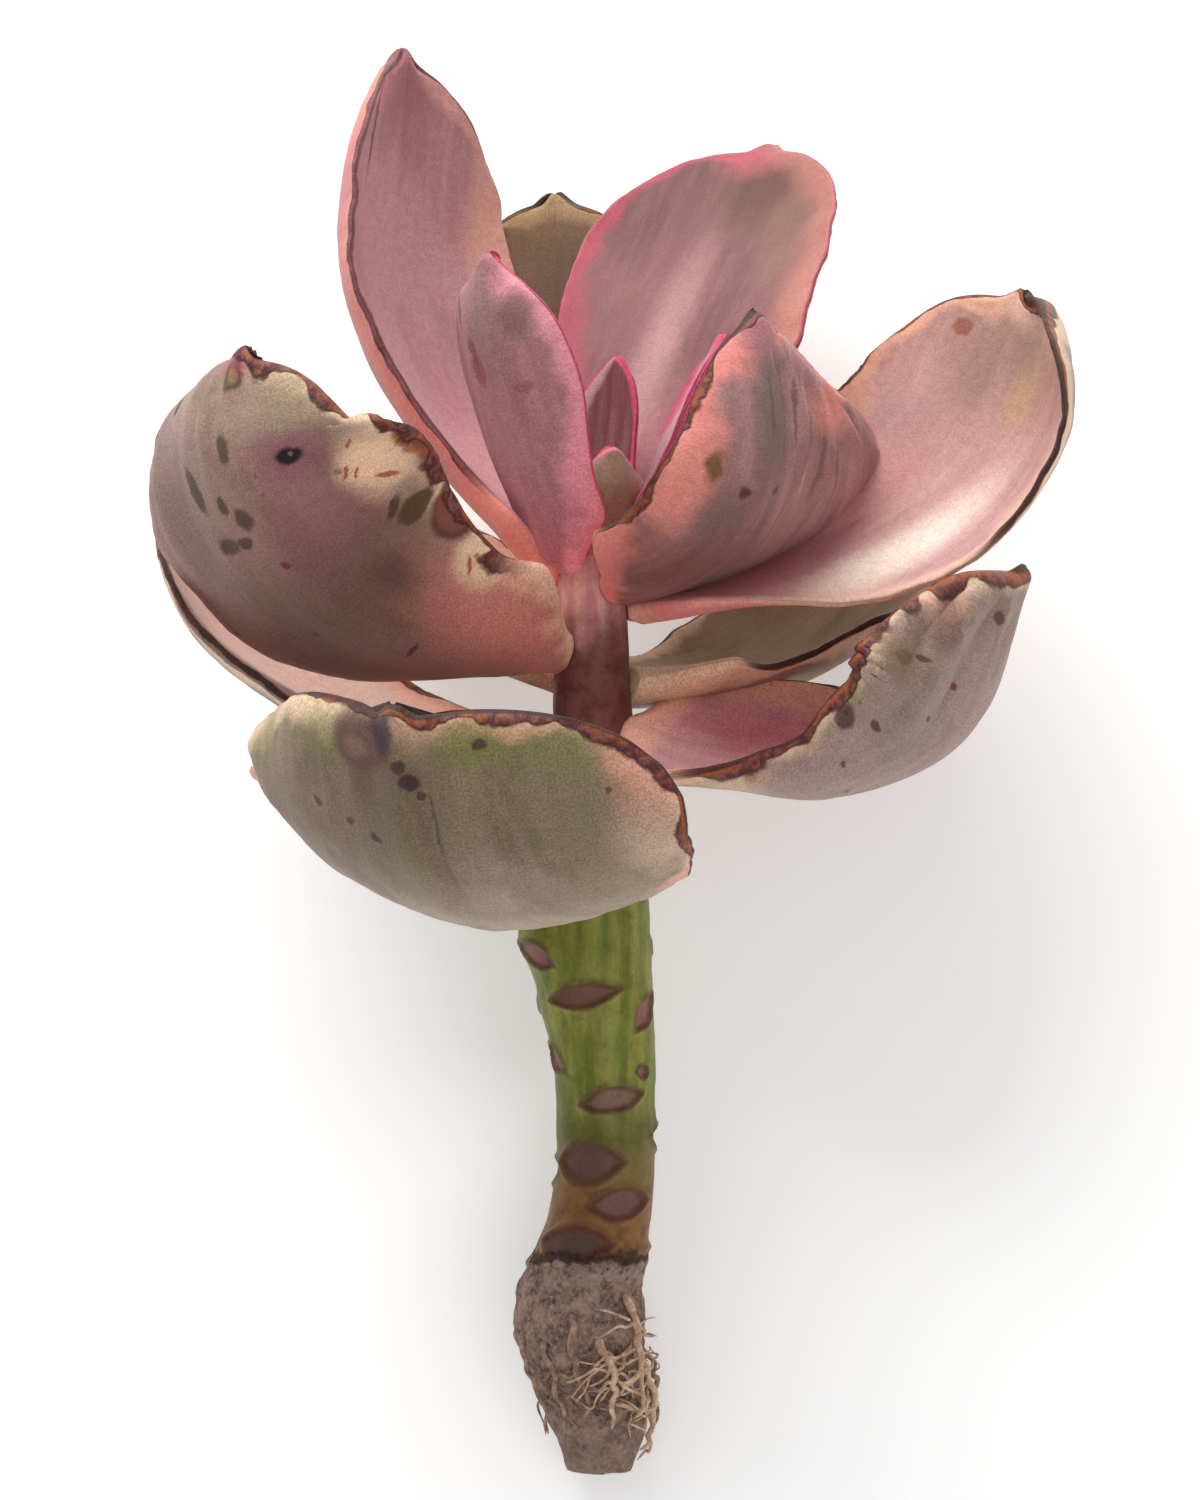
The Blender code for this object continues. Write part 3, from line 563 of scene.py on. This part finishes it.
def stem_sections(count):
    """Heights, sideways offsets and radii of rings up the stem, root tip first."""
    green = ROOTSTOCK_LENGTH
    crown = CROWN_BASE
    top = CROWN_BASE + CROWN_LENGTH
    bulge, bare, neck = ROOTSTOCK_RADIUS, BARE_STEM_RADIUS, CROWN_RADIUS
    sections = (
        (0.0, 0.0, 0.45 * bulge),
        (0.13 * green, -0.3, 0.68 * bulge),
        (0.32 * green, -1.2, 0.86 * bulge),
        (0.56 * green, -2.6, bulge),
        (0.77 * green, -1.8, 0.95 * bulge),
        (green, 0.0, bare),
        (green + 9, 0.7, 0.95 * bare),
        (green + 19, 0.4, bare),
        (crown - 16, -0.6, 1.12 * bare),
        (crown - 7, -0.6, 1.06 * bare),
        (crown + 7, -0.6, 0.5 * (bare + neck)),
        (crown + 22, -1.0, neck),
        (top - 5, -1.0, 0.87 * neck),
        (top, -0.8, 0.6 * neck),
    )
    share = np.linspace(0, 1, count)
    columns = ([section[k] for section in sections] for k in range(3))
    return [spline(column, share) for column in columns]


STEM = stem_sections(400)


def stem_at(height):
    """The stem's sideways offset and radius at a height."""
    heights, offsets, radii = STEM
    return np.interp(height, heights, offsets), np.interp(height, heights, radii)


def leaf_outline(leaf, along, half):
    """Breadth of the left, 0, or right half against its broadest place, neck to tip."""
    shoulder = leaf["shoulder"][half]
    rising = np.clip(along / shoulder, 0, 1)
    falling = np.clip((along - shoulder) / (1 - shoulder), 0, 1)
    lower = leaf["neck"] + (1 - leaf["neck"]) * np.sin(rising * pi / 2) ** 1.35
    upper = (1 - falling**2.2) ** (1 / leaf["blunt"])
    return np.maximum(np.where(along < shoulder, lower, upper),
                      TIP_BREADTH / leaf["width"])


def leaf_frame(leaf, along):
    """Midrib points with the blade's forward, sideways and inward directions."""
    fine = np.linspace(0, 1, 200)
    reach = spline([point[0] for point in leaf["path"]], fine)
    rise = spline([point[1] - leaf["path"][0][1] for point in leaf["path"]], fine)
    points = np.stack([0 * fine, -reach, rise], axis=1)
    arc = np.concatenate([[0], np.cumsum(np.linalg.norm(np.diff(points, axis=0), axis=1))])
    length = arc[-1]
    arc /= length
    ahead = np.gradient(points, axis=0)
    ahead /= np.linalg.norm(ahead, axis=1)[:, None]
    side = np.tile((1.0, 0.0, 0.0), (len(fine), 1))
    inward = np.cross(ahead, side)
    roll = np.radians(spline(leaf["roll"], arc))[:, None]
    rolled = side * np.cos(roll) + inward * np.sin(roll)
    inward = inward * np.cos(roll) - side * np.sin(roll)

    def read(values):
        return np.stack([np.interp(along, arc, values[:, k]) for k in range(3)], axis=1)

    return read(points), read(ahead), read(rolled), read(inward), length


def unit(vectors):
    return vectors / np.maximum(np.linalg.norm(vectors, axis=-1, keepdims=True), 1e-9)


def half_breadths(leaf, seed, along, length):
    """The two halves' breadths in mm, with the uneven edge of a dried margin."""
    sides = []
    for half in (0, 1):
        outline = leaf_outline(leaf, along, half) * leaf["width"] / 2
        ragged = 0.35 * rough_noise(seed + half, along * length / 6, 0, 4)
        ragged *= smooth(along, 0.25, 0.5) * leaf["wave"] * np.minimum(outline / 8, 1)
        clasp = 1 + leaf["clasp"] * np.exp(-((along * length - 4) / 5.5) ** 2)
        clasp *= 0.35 + 0.65 * smooth(along * length, -0.5, 6.5)
        sides.append(outline * leaf["sides"][half] * clasp + ragged)
    return sides


def leaf_grid(leaf, seed, rows, columns):
    """The middle surface with its normals, thickness and flat coordinates, all mm."""
    along = 1 - (1 - np.linspace(0, 1, rows)) ** CROWDING
    across = np.sin(np.linspace(-1, 1, columns) * pi / 2)
    middle, ahead, side, inward, length = leaf_frame(leaf, along)
    breadths = half_breadths(leaf, seed, along, length)
    keel = radians(KEEL_ANGLE)
    fine = np.linspace(0, 1, 24)
    sheet = np.empty((rows, columns, 3))
    flat = np.empty((rows, columns, 2))
    for column, place in enumerate(across):
        half = 0 if place < 0 else 1
        cup = leaf["cup"][half]
        cup = spline(cup if isinstance(cup, tuple) else (cup, cup), along)
        slope = keel + (np.radians(cup)[:, None] - keel) * (abs(place) * fine) ** CUP_POWER
        reach = breadths[half] * abs(place)
        out = np.cos(slope).mean(axis=1) * reach * copysign(1, place)
        lift = np.sin(slope).mean(axis=1) * reach
        sheet[:, column] = middle + side * out[:, None] + inward * lift[:, None]
        flat[:, column] = np.stack([reach * copysign(1, place), along * length], axis=1)
    x, y = flat[..., 0], flat[..., 1]

    # a short point at the tip
    nearness = np.exp(-((length - y) / 2.6) ** 2) * np.exp(-(x / 1.7) ** 2)
    sheet += ahead[-1] * (leaf["point"] * leaf["thickness"] * nearness)[..., None]

    margin = np.concatenate([np.stack([-breadths[0], along * length], 1),
                             np.stack([breadths[1], along * length], 1)[::-1]])
    edge = np.full(x.shape, 99.0)
    for start in range(len(margin) - 1):
        a, b = margin[start], margin[start + 1]
        step = b - a
        share = ((x - a[0]) * step[0] + (y - a[1]) * step[1]) / max(step @ step, 1e-9)
        share = np.clip(share, 0, 1)
        edge = np.minimum(edge, np.hypot(x - a[0] - share * step[0], y - a[1] - share * step[1]))

    normals = unit(np.cross(np.gradient(sheet, axis=0), np.gradient(sheet, axis=1)))
    grown = smooth(along, 0.15, 0.45)[:, None]
    place = np.abs(across)[None, :]
    left = np.minimum(across, 0)[None, :] < 0
    wave = np.where(left, noise(seed + 5, y / 9, 3), noise(seed + 6, y / 9, 3))
    quick = np.where(left, noise(seed + 7, y / 3.2, 5), noise(seed + 8, y / 3.2, 5))
    push = leaf["wave"] * grown * (0.9 * wave * place**4 + 0.28 * quick * place**14)
    push = push + 0.45 * grown * noise(seed + 9, x / 9, y / 12)
    for at, start, end, width, depth in leaf["folds"]:
        across_x = np.where(at < 0, breadths[0], breadths[1])[:, None] * at
        run = smooth(along, start, start + 0.15) * smooth(-along, -end, -end + 0.1)
        push = push + depth * run[:, None] * np.exp(-((x - across_x) / width) ** 2)
    sheet += normals * push[..., None]
    normals = unit(np.cross(np.gradient(sheet, axis=0), np.gradient(sheet, axis=1)))

    thick = MARGIN_SHARE + (1 - MARGIN_SHARE) * (1 - place**2.2)
    thick = LEAF_THICKNESS * leaf["thickness"] / 2 * thick * (
        1 + (TIP_SHARE - 1) * along[:, None])
    thick = thick * (1 + 1.3 * leaf["clasp"] * np.exp(-(y / 7.0) ** 2))
    thick = np.minimum(thick, 0.8 * np.minimum(*breadths)[:, None] + 0.1)
    bead = 1 + 0.3 * grown * np.exp(-edge / 0.9) * noise(seed + 10, y / 1.1, x / 2)
    rounding = np.minimum(edge / np.maximum(thick, 0.05), 1)
    half = thick * bead * np.sqrt(1 - (1 - rounding) ** 2)
    return along, across, sheet, normals, half, x, y, edge, length


def leaf_mesh(name, leaf, seed):
    rows, columns = COARSE_GRID if leaf["width"] < SMALL_LEAF else FINE_GRID
    along, across, sheet, normals, half, x, y, edge, length = leaf_grid(
        leaf, seed, rows, columns)
    off_edge = smooth(edge, 0.3, 2.5)
    ridges = noise(seed + 11, x / 1.9, y / 26) + 0.6 * noise(seed + 12, x / 0.9, y / 14)
    dents = noise(seed + 13, x / 4.5, y / 6) + 0.35 * noise(seed + 14, x / 1.6, y / 2.2)
    outer = half + off_edge * leaf["ridges"] * (0.55 * ridges + 0.5 * dents)
    dents = noise(seed + 15, x / 6, y / 9) + 0.3 * noise(seed + 16, x / 2, y / 3)
    inner = half + off_edge * leaf["ridges"] * (0.3 * ridges + 0.45 * dents)
    front = sheet + normals * inner[..., None]
    back = sheet - normals * outer[..., None]

    index = np.arange(rows * columns).reshape(rows, columns)
    inside = np.zeros((rows, columns), bool)
    inside[:-1, 1:-1] = True
    other = index.copy()
    other[inside] = rows * columns + np.arange(inside.sum())
    points = np.concatenate([front.reshape(-1, 3), back[inside]])
    face = np.where(inside, 1.0, 0.5).reshape(-1)
    face = np.concatenate([face, np.zeros(inside.sum())])

    def twice(values):
        values = np.broadcast_to(values, (rows, columns))
        return np.concatenate([values.reshape(-1), values[inside]])

    quads = []
    for grid, order in ((index, (0, 3, 2, 1)), (other, (0, 1, 2, 3))):
        corners = grid[:-1, :-1], grid[:-1, 1:], grid[1:, 1:], grid[1:, :-1]
        quads.append(np.stack([corners[k] for k in order], -1).reshape(-1, 4))
    quads.append(np.stack([index[0, :-1], index[0, 1:], other[0, 1:], other[0, :-1]], -1))
    faces = [tuple(dict.fromkeys(quad)) for quad in np.concatenate(quads).tolist()]

    turn = radians(leaf["azimuth"])
    height = CROWN_BASE + leaf["path"][0][1]
    place = (Matrix.Translation((stem_at(height)[0], 0, height)) @ Matrix.Rotation(turn, 4, "Z"))
    points = points @ np.array(place.to_3x3()).T + np.array(place.translation)
    mesh = mesh_of(name, points, faces)
    put(mesh, "edge", twice(edge))
    put(mesh, "along", twice(along[:, None]))
    put(mesh, "across", twice(across[None, :]))
    put(mesh, "face", face)
    put(mesh, "flat", np.stack([twice(x), twice(y), FACE_APART * face], -1))
    return mesh, length


def mesh_of(name, points, faces):
    """A smooth mesh from points in mm as grown, laid down in the frame."""
    rest = np.array(AS_GROWN)
    placed = (points * MM) @ rest[:3, :3].T + rest[:3, 3]
    placed[:, 2] = np.maximum(placed[:, 2], 0.0)  # what lies on the surface is pressed flat
    mesh = bpy.data.meshes.new(name)
    mesh.from_pydata(placed.tolist(), [], faces)
    mesh.validate()
    mesh.shade_smooth()
    return mesh


def put(mesh, name, values):
    """Stores a number or a vector for each point."""
    values = np.asarray(values, np.float32)
    kind, field = ("FLOAT", "value") if values.ndim == 1 else ("FLOAT_VECTOR", "vector")
    mesh.attributes.new(name, kind, "POINT").data.foreach_set(field, values.ravel())


def add_object(name, data):
    made = bpy.data.objects.new(name, data)
    bpy.context.scene.collection.objects.link(made)
    return made


def add_piece(name, mesh, material, node):
    made = add_object(name, mesh)
    mesh.materials.append(material)
    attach(made, BODY)
    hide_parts(node)


def leaf_spots(leaf, length):
    """The blemishes and patches of painted light, with their places turned into flat millimetres
    on their face.
    """
    found = []
    for face, key in enumerate(("outer_spots", "inner_spots")):
        for row in leaf[key]:
            half = 0 if row["across"] < 0 else 1
            outline = leaf_outline(leaf, np.array([row["along"]]), half)[0] * leaf["width"] / 2
            centre = (row["across"] * outline * leaf["sides"][half], row["along"] * length,
                      FACE_APART * face)
            found.append({**row, "centre": centre})
    return found


def add_leaves():
    for number, (name, row) in enumerate(LEAVES.items()):
        leaf = {**LEAF_DEFAULTS, **row}
        mesh, length = leaf_mesh(name + "_blade", leaf, 1000 + 100 * number)
        material = leaf_material(name + "_skin", leaf, leaf_spots(leaf, length))
        add_piece(name + "_blade", mesh, material, name)


# ---- stem

# Scars of shed leaves: azimuth, height, half width, half height in mm, tilt and paint
SCARS = (
    (-12, 57.2, 4.4, 1.4, 10, "7a5248"),
    (9, 44.9, 4.5, 1.5, 10, "8e6a5c"),
    (-62, 62, 2.8, 1.3, -30, ROSE_BROWN),
    (-72, 49.6, 2.8, 1.3, -35, ROSE_BROWN),
    (58, 55.2, 3, 1.3, 50, ROSE_BROWN),
    (48, 48, 1.1, 0.8, 0, ROSE_BROWN),
    (-20, 37.3, 4.8, 2.6, 0, "684c42"),
    (22, 32.4, 4.2, 1.9, 4, "7c5450"),
    (-22, 27.8, 4.8, 2.1, -3, "5c423e"),
    (125, 63, 4.2, 1.5, 5, ROSE_BROWN),
    (-125, 56, 4.2, 1.4, -6, ROSE_BROWN),
    (150, 50, 4.4, 1.5, 6, ROSE_BROWN),
    (-150, 43, 4.2, 1.5, 4, ROSE_BROWN),
    (100, 40, 4.2, 1.5, -5, BROWN),
    (-95, 36, 4, 1.5, 6, BROWN),
)
SCAR_RADIUS = 6.3  # radius at which a scar's width is measured
SCAR_EDGE = "5c2c28"


def scar_field(turn, height):
    """For each point, how far it is from the nearest scar's middle, in its radii."""
    nearest = np.full(turn.shape, 9.0)
    for azimuth, level, wide, high, tilt, _ in SCARS:
        apart = (turn - radians(azimuth) + pi) % (2 * pi) - pi
        x, y = apart * SCAR_RADIUS, height - level
        tilt = radians(tilt)
        across = (x * cos(tilt) + y * sin(tilt)) / wide
        up = (y * cos(tilt) - x * sin(tilt)) / high
        nearest = np.minimum(nearest, across**2 + np.abs(up))
    return nearest


def loft_faces(rows, sides, start=0):
    """Faces of rings of points that two middle points, first and last, close."""
    index = np.arange(rows * sides).reshape(rows, sides) + start
    right = np.roll(index, -1, 1)
    faces = np.stack([index[:-1], right[:-1], right[1:], index[1:]], -1).reshape(-1, 4).tolist()
    first, last = start + rows * sides, start + rows * sides + 1
    faces += [(first, b, a) for a, b in zip(index[0].tolist(), right[0].tolist())]
    faces += [(last, a, b) for a, b in zip(index[-1].tolist(), right[-1].tolist())]
    return faces


def stem_mesh():
    rings, sides = 420, 128
    heights, offsets, radii = stem_sections(rings)
    turns = np.linspace(-pi, pi, sides, endpoint=False)
    turn, height = np.meshgrid(turns, heights)
    radius = np.repeat(radii[:, None], sides, 1)
    around = np.cos(turn), np.sin(turn)
    woody = smooth(-height, -ROOTSTOCK_LENGTH + 3.0, -ROOTSTOCK_LENGTH + 6.0)
    lumps = noise(41, turn * 2.0 + 8, height / 4.5) * np.cos(turn / 2) ** 2
    lumps = lumps + noise(42, np.sin(turn) * 2.3 + 9, height / 3.2)
    wrinkles = noise(43, np.sin(turn) * 1.6, height / 0.9) + noise(44, turn * 5, height / 2)
    fine = rough_noise(45, np.sin(turn) * 9 + 20, height / 0.8 + np.cos(turn) * 7, 3)
    radius += woody * (0.42 * lumps + 0.14 * wrinkles + 0.13 * fine)
    radius += (1 - woody) * (0.12 * lumps + 0.025 * fine)
    near = scar_field(turn, height)
    radius += 0.28 * np.exp(-((near - 1.12) / 0.22) ** 2) - 0.3 * smooth(-near, -1.05, -0.6)
    ledge = np.exp(-((height - 26.0 - 0.9 * np.sin(turn)) / 0.5) ** 2)
    radius += 0.35 * ledge
    swell = np.exp(-((height - 64.5) / 4.0) ** 2) * np.exp(-((turn + 1.5) / 0.8) ** 2)
    radius += 2.6 * swell
    x = offsets[:, None] + radius * around[1]
    y = -radius * around[0]
    points = np.stack([x, y, height], -1).reshape(-1, 3)
    ends = np.array([[offsets[0], 0, heights[0] + 0.5], [offsets[-1], 0, heights[-1] + 0.6]])
    points = np.concatenate([points, ends])
    mesh = mesh_of("stem_skin", points, loft_faces(rings, sides))
    flat = np.stack([turn * SCAR_RADIUS, height, 0 * turn], -1).reshape(-1, 3)
    put(mesh, "flat", np.concatenate([flat, [[0, heights[0], 0], [0, heights[-1], 0]]]))
    put(mesh, "grown", points)
    put(mesh, "height", np.concatenate([height.reshape(-1), [heights[0], heights[-1]]]))
    return mesh


def stem_material():
    shade = Shade("stem_skin", 0.3)
    mix, step, cloud, times, plus = shade.short_names()
    flat = shade.attribute("flat", True)
    grown = shade.attribute("grown", True)
    height = shade.attribute("height")
    warp = cloud(grown, 0.22, 4, 0.6)
    level = plus(height, step(warp, 0.25, 0.75, -2.2, 2.2))
    streak = cloud(shade.vector("MULTIPLY", grown, (1, 1, 0.12)), 0.5, 4)
    fine = cloud(grown, 1.6, 5, 0.7)
    middle = cloud(grown, 0.45, 4, 0.6)

    green = mix(step(streak, 0.36, 0.64), "6c7422", "929240")
    green = mix(step(middle, 0.5, 0.7, 0, 0.5), green, "58621a")
    # The neck's colour: its own red-brown, darkened further with painted shade where the crown's
    # leaves hang over it.
    neck = mix(step(middle, 0.4, 0.65), "74423a", "583228")
    # Painted shade: the green darkens towards its lower end.
    green = mix(step(level, 46, 40, 0, 0.6), green, "545220")
    colour = mix(step(level, 67, 77), green, neck)
    rosy = mix(step(streak, 0.38, 0.62), "d6a49c", "ba7c7e")
    colour = mix(step(level, 97, 106), colour, rosy)
    ochre = mix(step(middle, 0.42, 0.62), "8c602c", "704e28")
    colour = mix(step(level, 40.5, 37), colour, "7c6a36")
    colour = mix(step(level, 36.5, 34), colour, ochre)

    place = shade.warped(flat, 0.4, 1.3)
    for azimuth, centre, wide, high, tilt, paint in SCARS:
        centre = (radians(azimuth) * SCAR_RADIUS, centre, 0)
        colour = shade.spot(colour, place, centre, (wide + 0.3, high + 0.3), tilt, SCAR_EDGE,
                            0.25, 0.8, True)
        colour = shade.spot(colour, place, centre, (wide * 0.76, high * 0.76), tilt, paint,
                            0.3, 0.85, True)

    bark = mix(step(middle, 0.38, 0.62), "ac9080", "786156")
    bark = mix(step(fine, 0.45, 0.7), bark, "b89c88")
    bark = mix(step(fine, 0.42, 0.3), bark, "3e2c26")
    bark = mix(step(height, 9, 2, 0, 0.6), bark, "9c8272")
    tilted = plus(height, step(warp, 0.3, 0.7, -0.7, 0.7))
    colour = mix(step(tilted, 26.6, 25.9), colour, bark)
    line = shade.math("ABSOLUTE", shade.math("SUBTRACT", tilted, 26.2))
    colour = mix(step(line, 0.75, 0.2, 0, 0.85), colour, UMBER)
    colour = shade.shaded(colour, step(fine, 0.3, 0.7, 0.88, 1.1))
    woody = step(tilted, 27.5, 25.5)
    relief = plus(times(fine, step(woody, 0, 1, 0.25, 2.6)), times(streak, 0.4))
    return shade.finish(colour, step(woody, 0, 1, 0.46, 0.85), relief, BARK_RELIEF)


# ---- roots

ROOT_COUNT = 8
ROOT_RADIUS = 0.65
ROOT_LENGTH = 15.0
ROOT_SECTOR = (-58.0, 124.0)
ROOT_SEED = 11


def surface_point(azimuth, height, lift):
    """A point this far off the rootstock's bark."""
    offset, radius = stem_at(height)
    off = radius + lift
    turn = radians(azimuth)
    return np.array([offset + off * sin(turn), -off * cos(turn), height])


def tube_parts(points, radii, sides, start):
    """Points and faces of a closed tube along a route."""
    ahead = unit(np.gradient(points, axis=0))
    side = unit(np.cross(ahead[0], (0.31, 0.52, 0.79)))
    rings = []
    for point, way, radius in zip(points, ahead, radii):
        side = unit(side - way * (side @ way))
        up = np.cross(way, side)
        turns = np.linspace(0, 2 * pi, sides, endpoint=False)[:, None]
        rings.append(point + radius * (np.cos(turns) * side + np.sin(turns) * up))
    count = len(points)
    found = np.concatenate([*rings, points[:1], points[-1:]])
    return found, loft_faces(count, sides, start)


def roots_mesh(name, routes, sides=10):
    """One mesh from routes of (points, first radius, last radius)."""
    points, faces, total = [], [], 0
    for number, (route, first, last) in enumerate(routes):
        count = max(12, int(np.linalg.norm(np.diff(route, axis=0), axis=1).sum() / 0.28))
        fine = np.linspace(0, 1, 4 * count)
        route = np.stack([spline(route[:, axis], fine) for axis in range(3)], 1)
        arc = np.cumsum(np.linalg.norm(np.diff(route, axis=0, prepend=route[:1]), axis=1))
        share = np.linspace(0, 1, count)
        route = np.stack([np.interp(share * arc[-1], arc, column) for column in route.T], 1)
        radii = first + (last - first) * share
        radii = radii * (1 + 0.2 * noise(71 + number, share * count / 3.5, number + 0.5))
        radii *= np.minimum(1, 0.35 + 3 * np.minimum(share, 1 - share) * count / 12)
        found, made = tube_parts(route, radii, sides, total)
        points.append(found)
        faces += made
        total += len(found)
    points = np.concatenate(points)
    mesh = mesh_of(name, points, faces)
    put(mesh, "grown", points)
    return mesh


def root_material(name, light, dark):
    shade = Shade(name, 0.2)
    grown = shade.attribute("grown", True)
    middle = shade.noise(grown, 0.7, 4.0, 0.6)
    fine = shade.noise(grown, 3.0, 4.0, 0.7)
    colour = shade.mix(shade.step(middle, 0.36, 0.66), dark, light)
    colour = shade.mix(shade.step(fine, 0.5, 0.3, 0.0, 0.55), colour, "4a342a")
    return shade.finish(colour, shade.step(fine, 0.3, 0.7, 0.7, 0.92), fine, ROOT_RELIEF)


def main_route(azimuth, height, length, swing, drift):
    """The route of a CAD root, creeping down the rootstock."""
    share = np.linspace(0, 1, 11)
    heights = height - length * share
    turns = azimuth + swing * np.sin(share * pi) + drift * share
    depths = np.interp(share, (0, 0.2, 0.6, 1), (-1.6, 1.1, 1.6, 1.2)) * ROOT_RADIUS
    return np.array([surface_point(turn, level, 0.3 + depth)
                     for turn, level, depth in zip(turns, heights, depths)])


def add_roots():
    chance = random.Random(ROOT_SEED)
    curl = random.Random(23)
    pale = root_material("root_pale", "f2d4b6", "c8a284")
    dark = root_material("root_dark", "c4a48e", "84685a")
    first, last = ROOT_SECTOR
    for index in range(ROOT_COUNT):
        azimuth = first + (last - first) * index / (ROOT_COUNT - 1)
        length = ROOT_LENGTH * chance.uniform(0.7, 1.0)
        height = length + ROOTSTOCK_LENGTH * chance.uniform(0.08, 0.22)
        swing = chance.uniform(2, 7)
        drift = chance.uniform(-4, 4)
        route = main_route(azimuth, height, length, swing, drift)
        wobble = np.array([[curl.uniform(-0.45, 0.45) for _ in range(3)] for _ in route])
        crowded = 15 < azimuth < 95
        first_radius = ROOT_RADIUS * (0.8 if crowded else 0.62)
        routes = [(route + wobble, first_radius, first_radius * 0.5)]
        for _ in range(11 if crowded else 3):
            start = curl.uniform(0.15, 0.75)
            level = height - length * start
            turn = azimuth + swing * sin(start * pi) + drift * start
            way = curl.choice((-1, 1))
            branch = [surface_point(turn, level, 0.4)]
            for step in range(1, 6):
                turn += way * curl.uniform(3, 13)
                level -= curl.uniform(-0.6, 1.6)
                level = max(level, 0.6)
                lift = curl.uniform(0.2, 1.9 if crowded else 0.9)
                branch.append(surface_point(turn, level, lift))
            thick = curl.uniform(0.14, 0.3)
            routes.append((np.array(branch), thick, thick * 0.5))
        node = "root_%02d" % (index + 1)
        add_piece(node + "_fibres", roots_mesh(node + "_fibres", routes),
                  pale if crowded else dark, node)


# ---- studio

WORLD_STRENGTH = 0.42
FLOOR_HALF = 2.5  # m
FLOOR_GLOW = 0.3


def add_light(name, direction, distance, size, power, tint):
    data = bpy.data.lights.new(name, "AREA")
    data.shape = "DISK"
    data.size = size
    data.energy = power
    data.color = tint
    made = add_object(name, data)
    away = Vector(direction).normalized()
    made.location = Vector((0, 0, 0.03)) + away * distance
    made.rotation_mode = "QUATERNION"
    made.rotation_quaternion = away.to_track_quat("Z", "Y")


def add_studio():
    scene = bpy.context.scene
    scene.view_settings.view_transform = "Standard"
    world = bpy.data.worlds.new("studio")
    world.use_nodes = True
    back = world.node_tree.nodes["Background"]
    back.inputs["Color"].default_value = (1.0, 1.0, 1.0, 1.0)
    back.inputs["Strength"].default_value = WORLD_STRENGTH
    scene.world = world
    add_light("key", (-0.2, 0.9, 0.6), 0.9, 0.75, 8.2, (1.0, 0.985, 0.96))
    add_light("fill", (0.4, -0.6, 0.75), 1.0, 0.9, 2.2, (0.98, 0.99, 1.0))

    floor = bpy.data.meshes.new("floor")
    corners = ((-1, -1), (1, -1), (1, 1), (-1, 1))
    floor.from_pydata([(x * FLOOR_HALF, y * FLOOR_HALF, 0) for x, y in corners], [],
                      [(0, 1, 2, 3)])
    shade = Shade("floor")
    place = shade.node("TexCoord", {}, 3)
    cloud = shade.noise(place, 3.0, 3.0)
    colour = shade.mix(cloud, (0.88, 0.88, 0.88), (0.92, 0.92, 0.92))
    shade.shader.inputs["Emission Color"].default_value = (1.0, 1.0, 1.0, 1.0)
    shade.shader.inputs["Emission Strength"].default_value = FLOOR_GLOW
    floor.materials.append(shade.finish(colour, 0.9, cloud, 0.05))
    add_object("floor", floor)


CAMERA_AWAY, CAMERA_HEIGHT = 0.6, 0.0864  # m


def add_camera():
    """Looks straight at the rosette's front, at the height of the middle of the plant."""
    data = bpy.data.cameras.new("camera")
    data.sensor_width = 24.0
    data.lens = 80.0
    data.clip_start = 0.01
    made = add_object("camera", data)
    made.matrix_world = (AS_GROWN @ Matrix.Translation((0, -CAMERA_AWAY, CAMERA_HEIGHT))
                         @ Matrix.Rotation(pi / 2, 4, "X"))
    bpy.context.scene.camera = made


add_camera()
add_leaves()
add_piece("stem_skin", stem_mesh(), stem_material(), "stem")
add_roots()
add_studio()
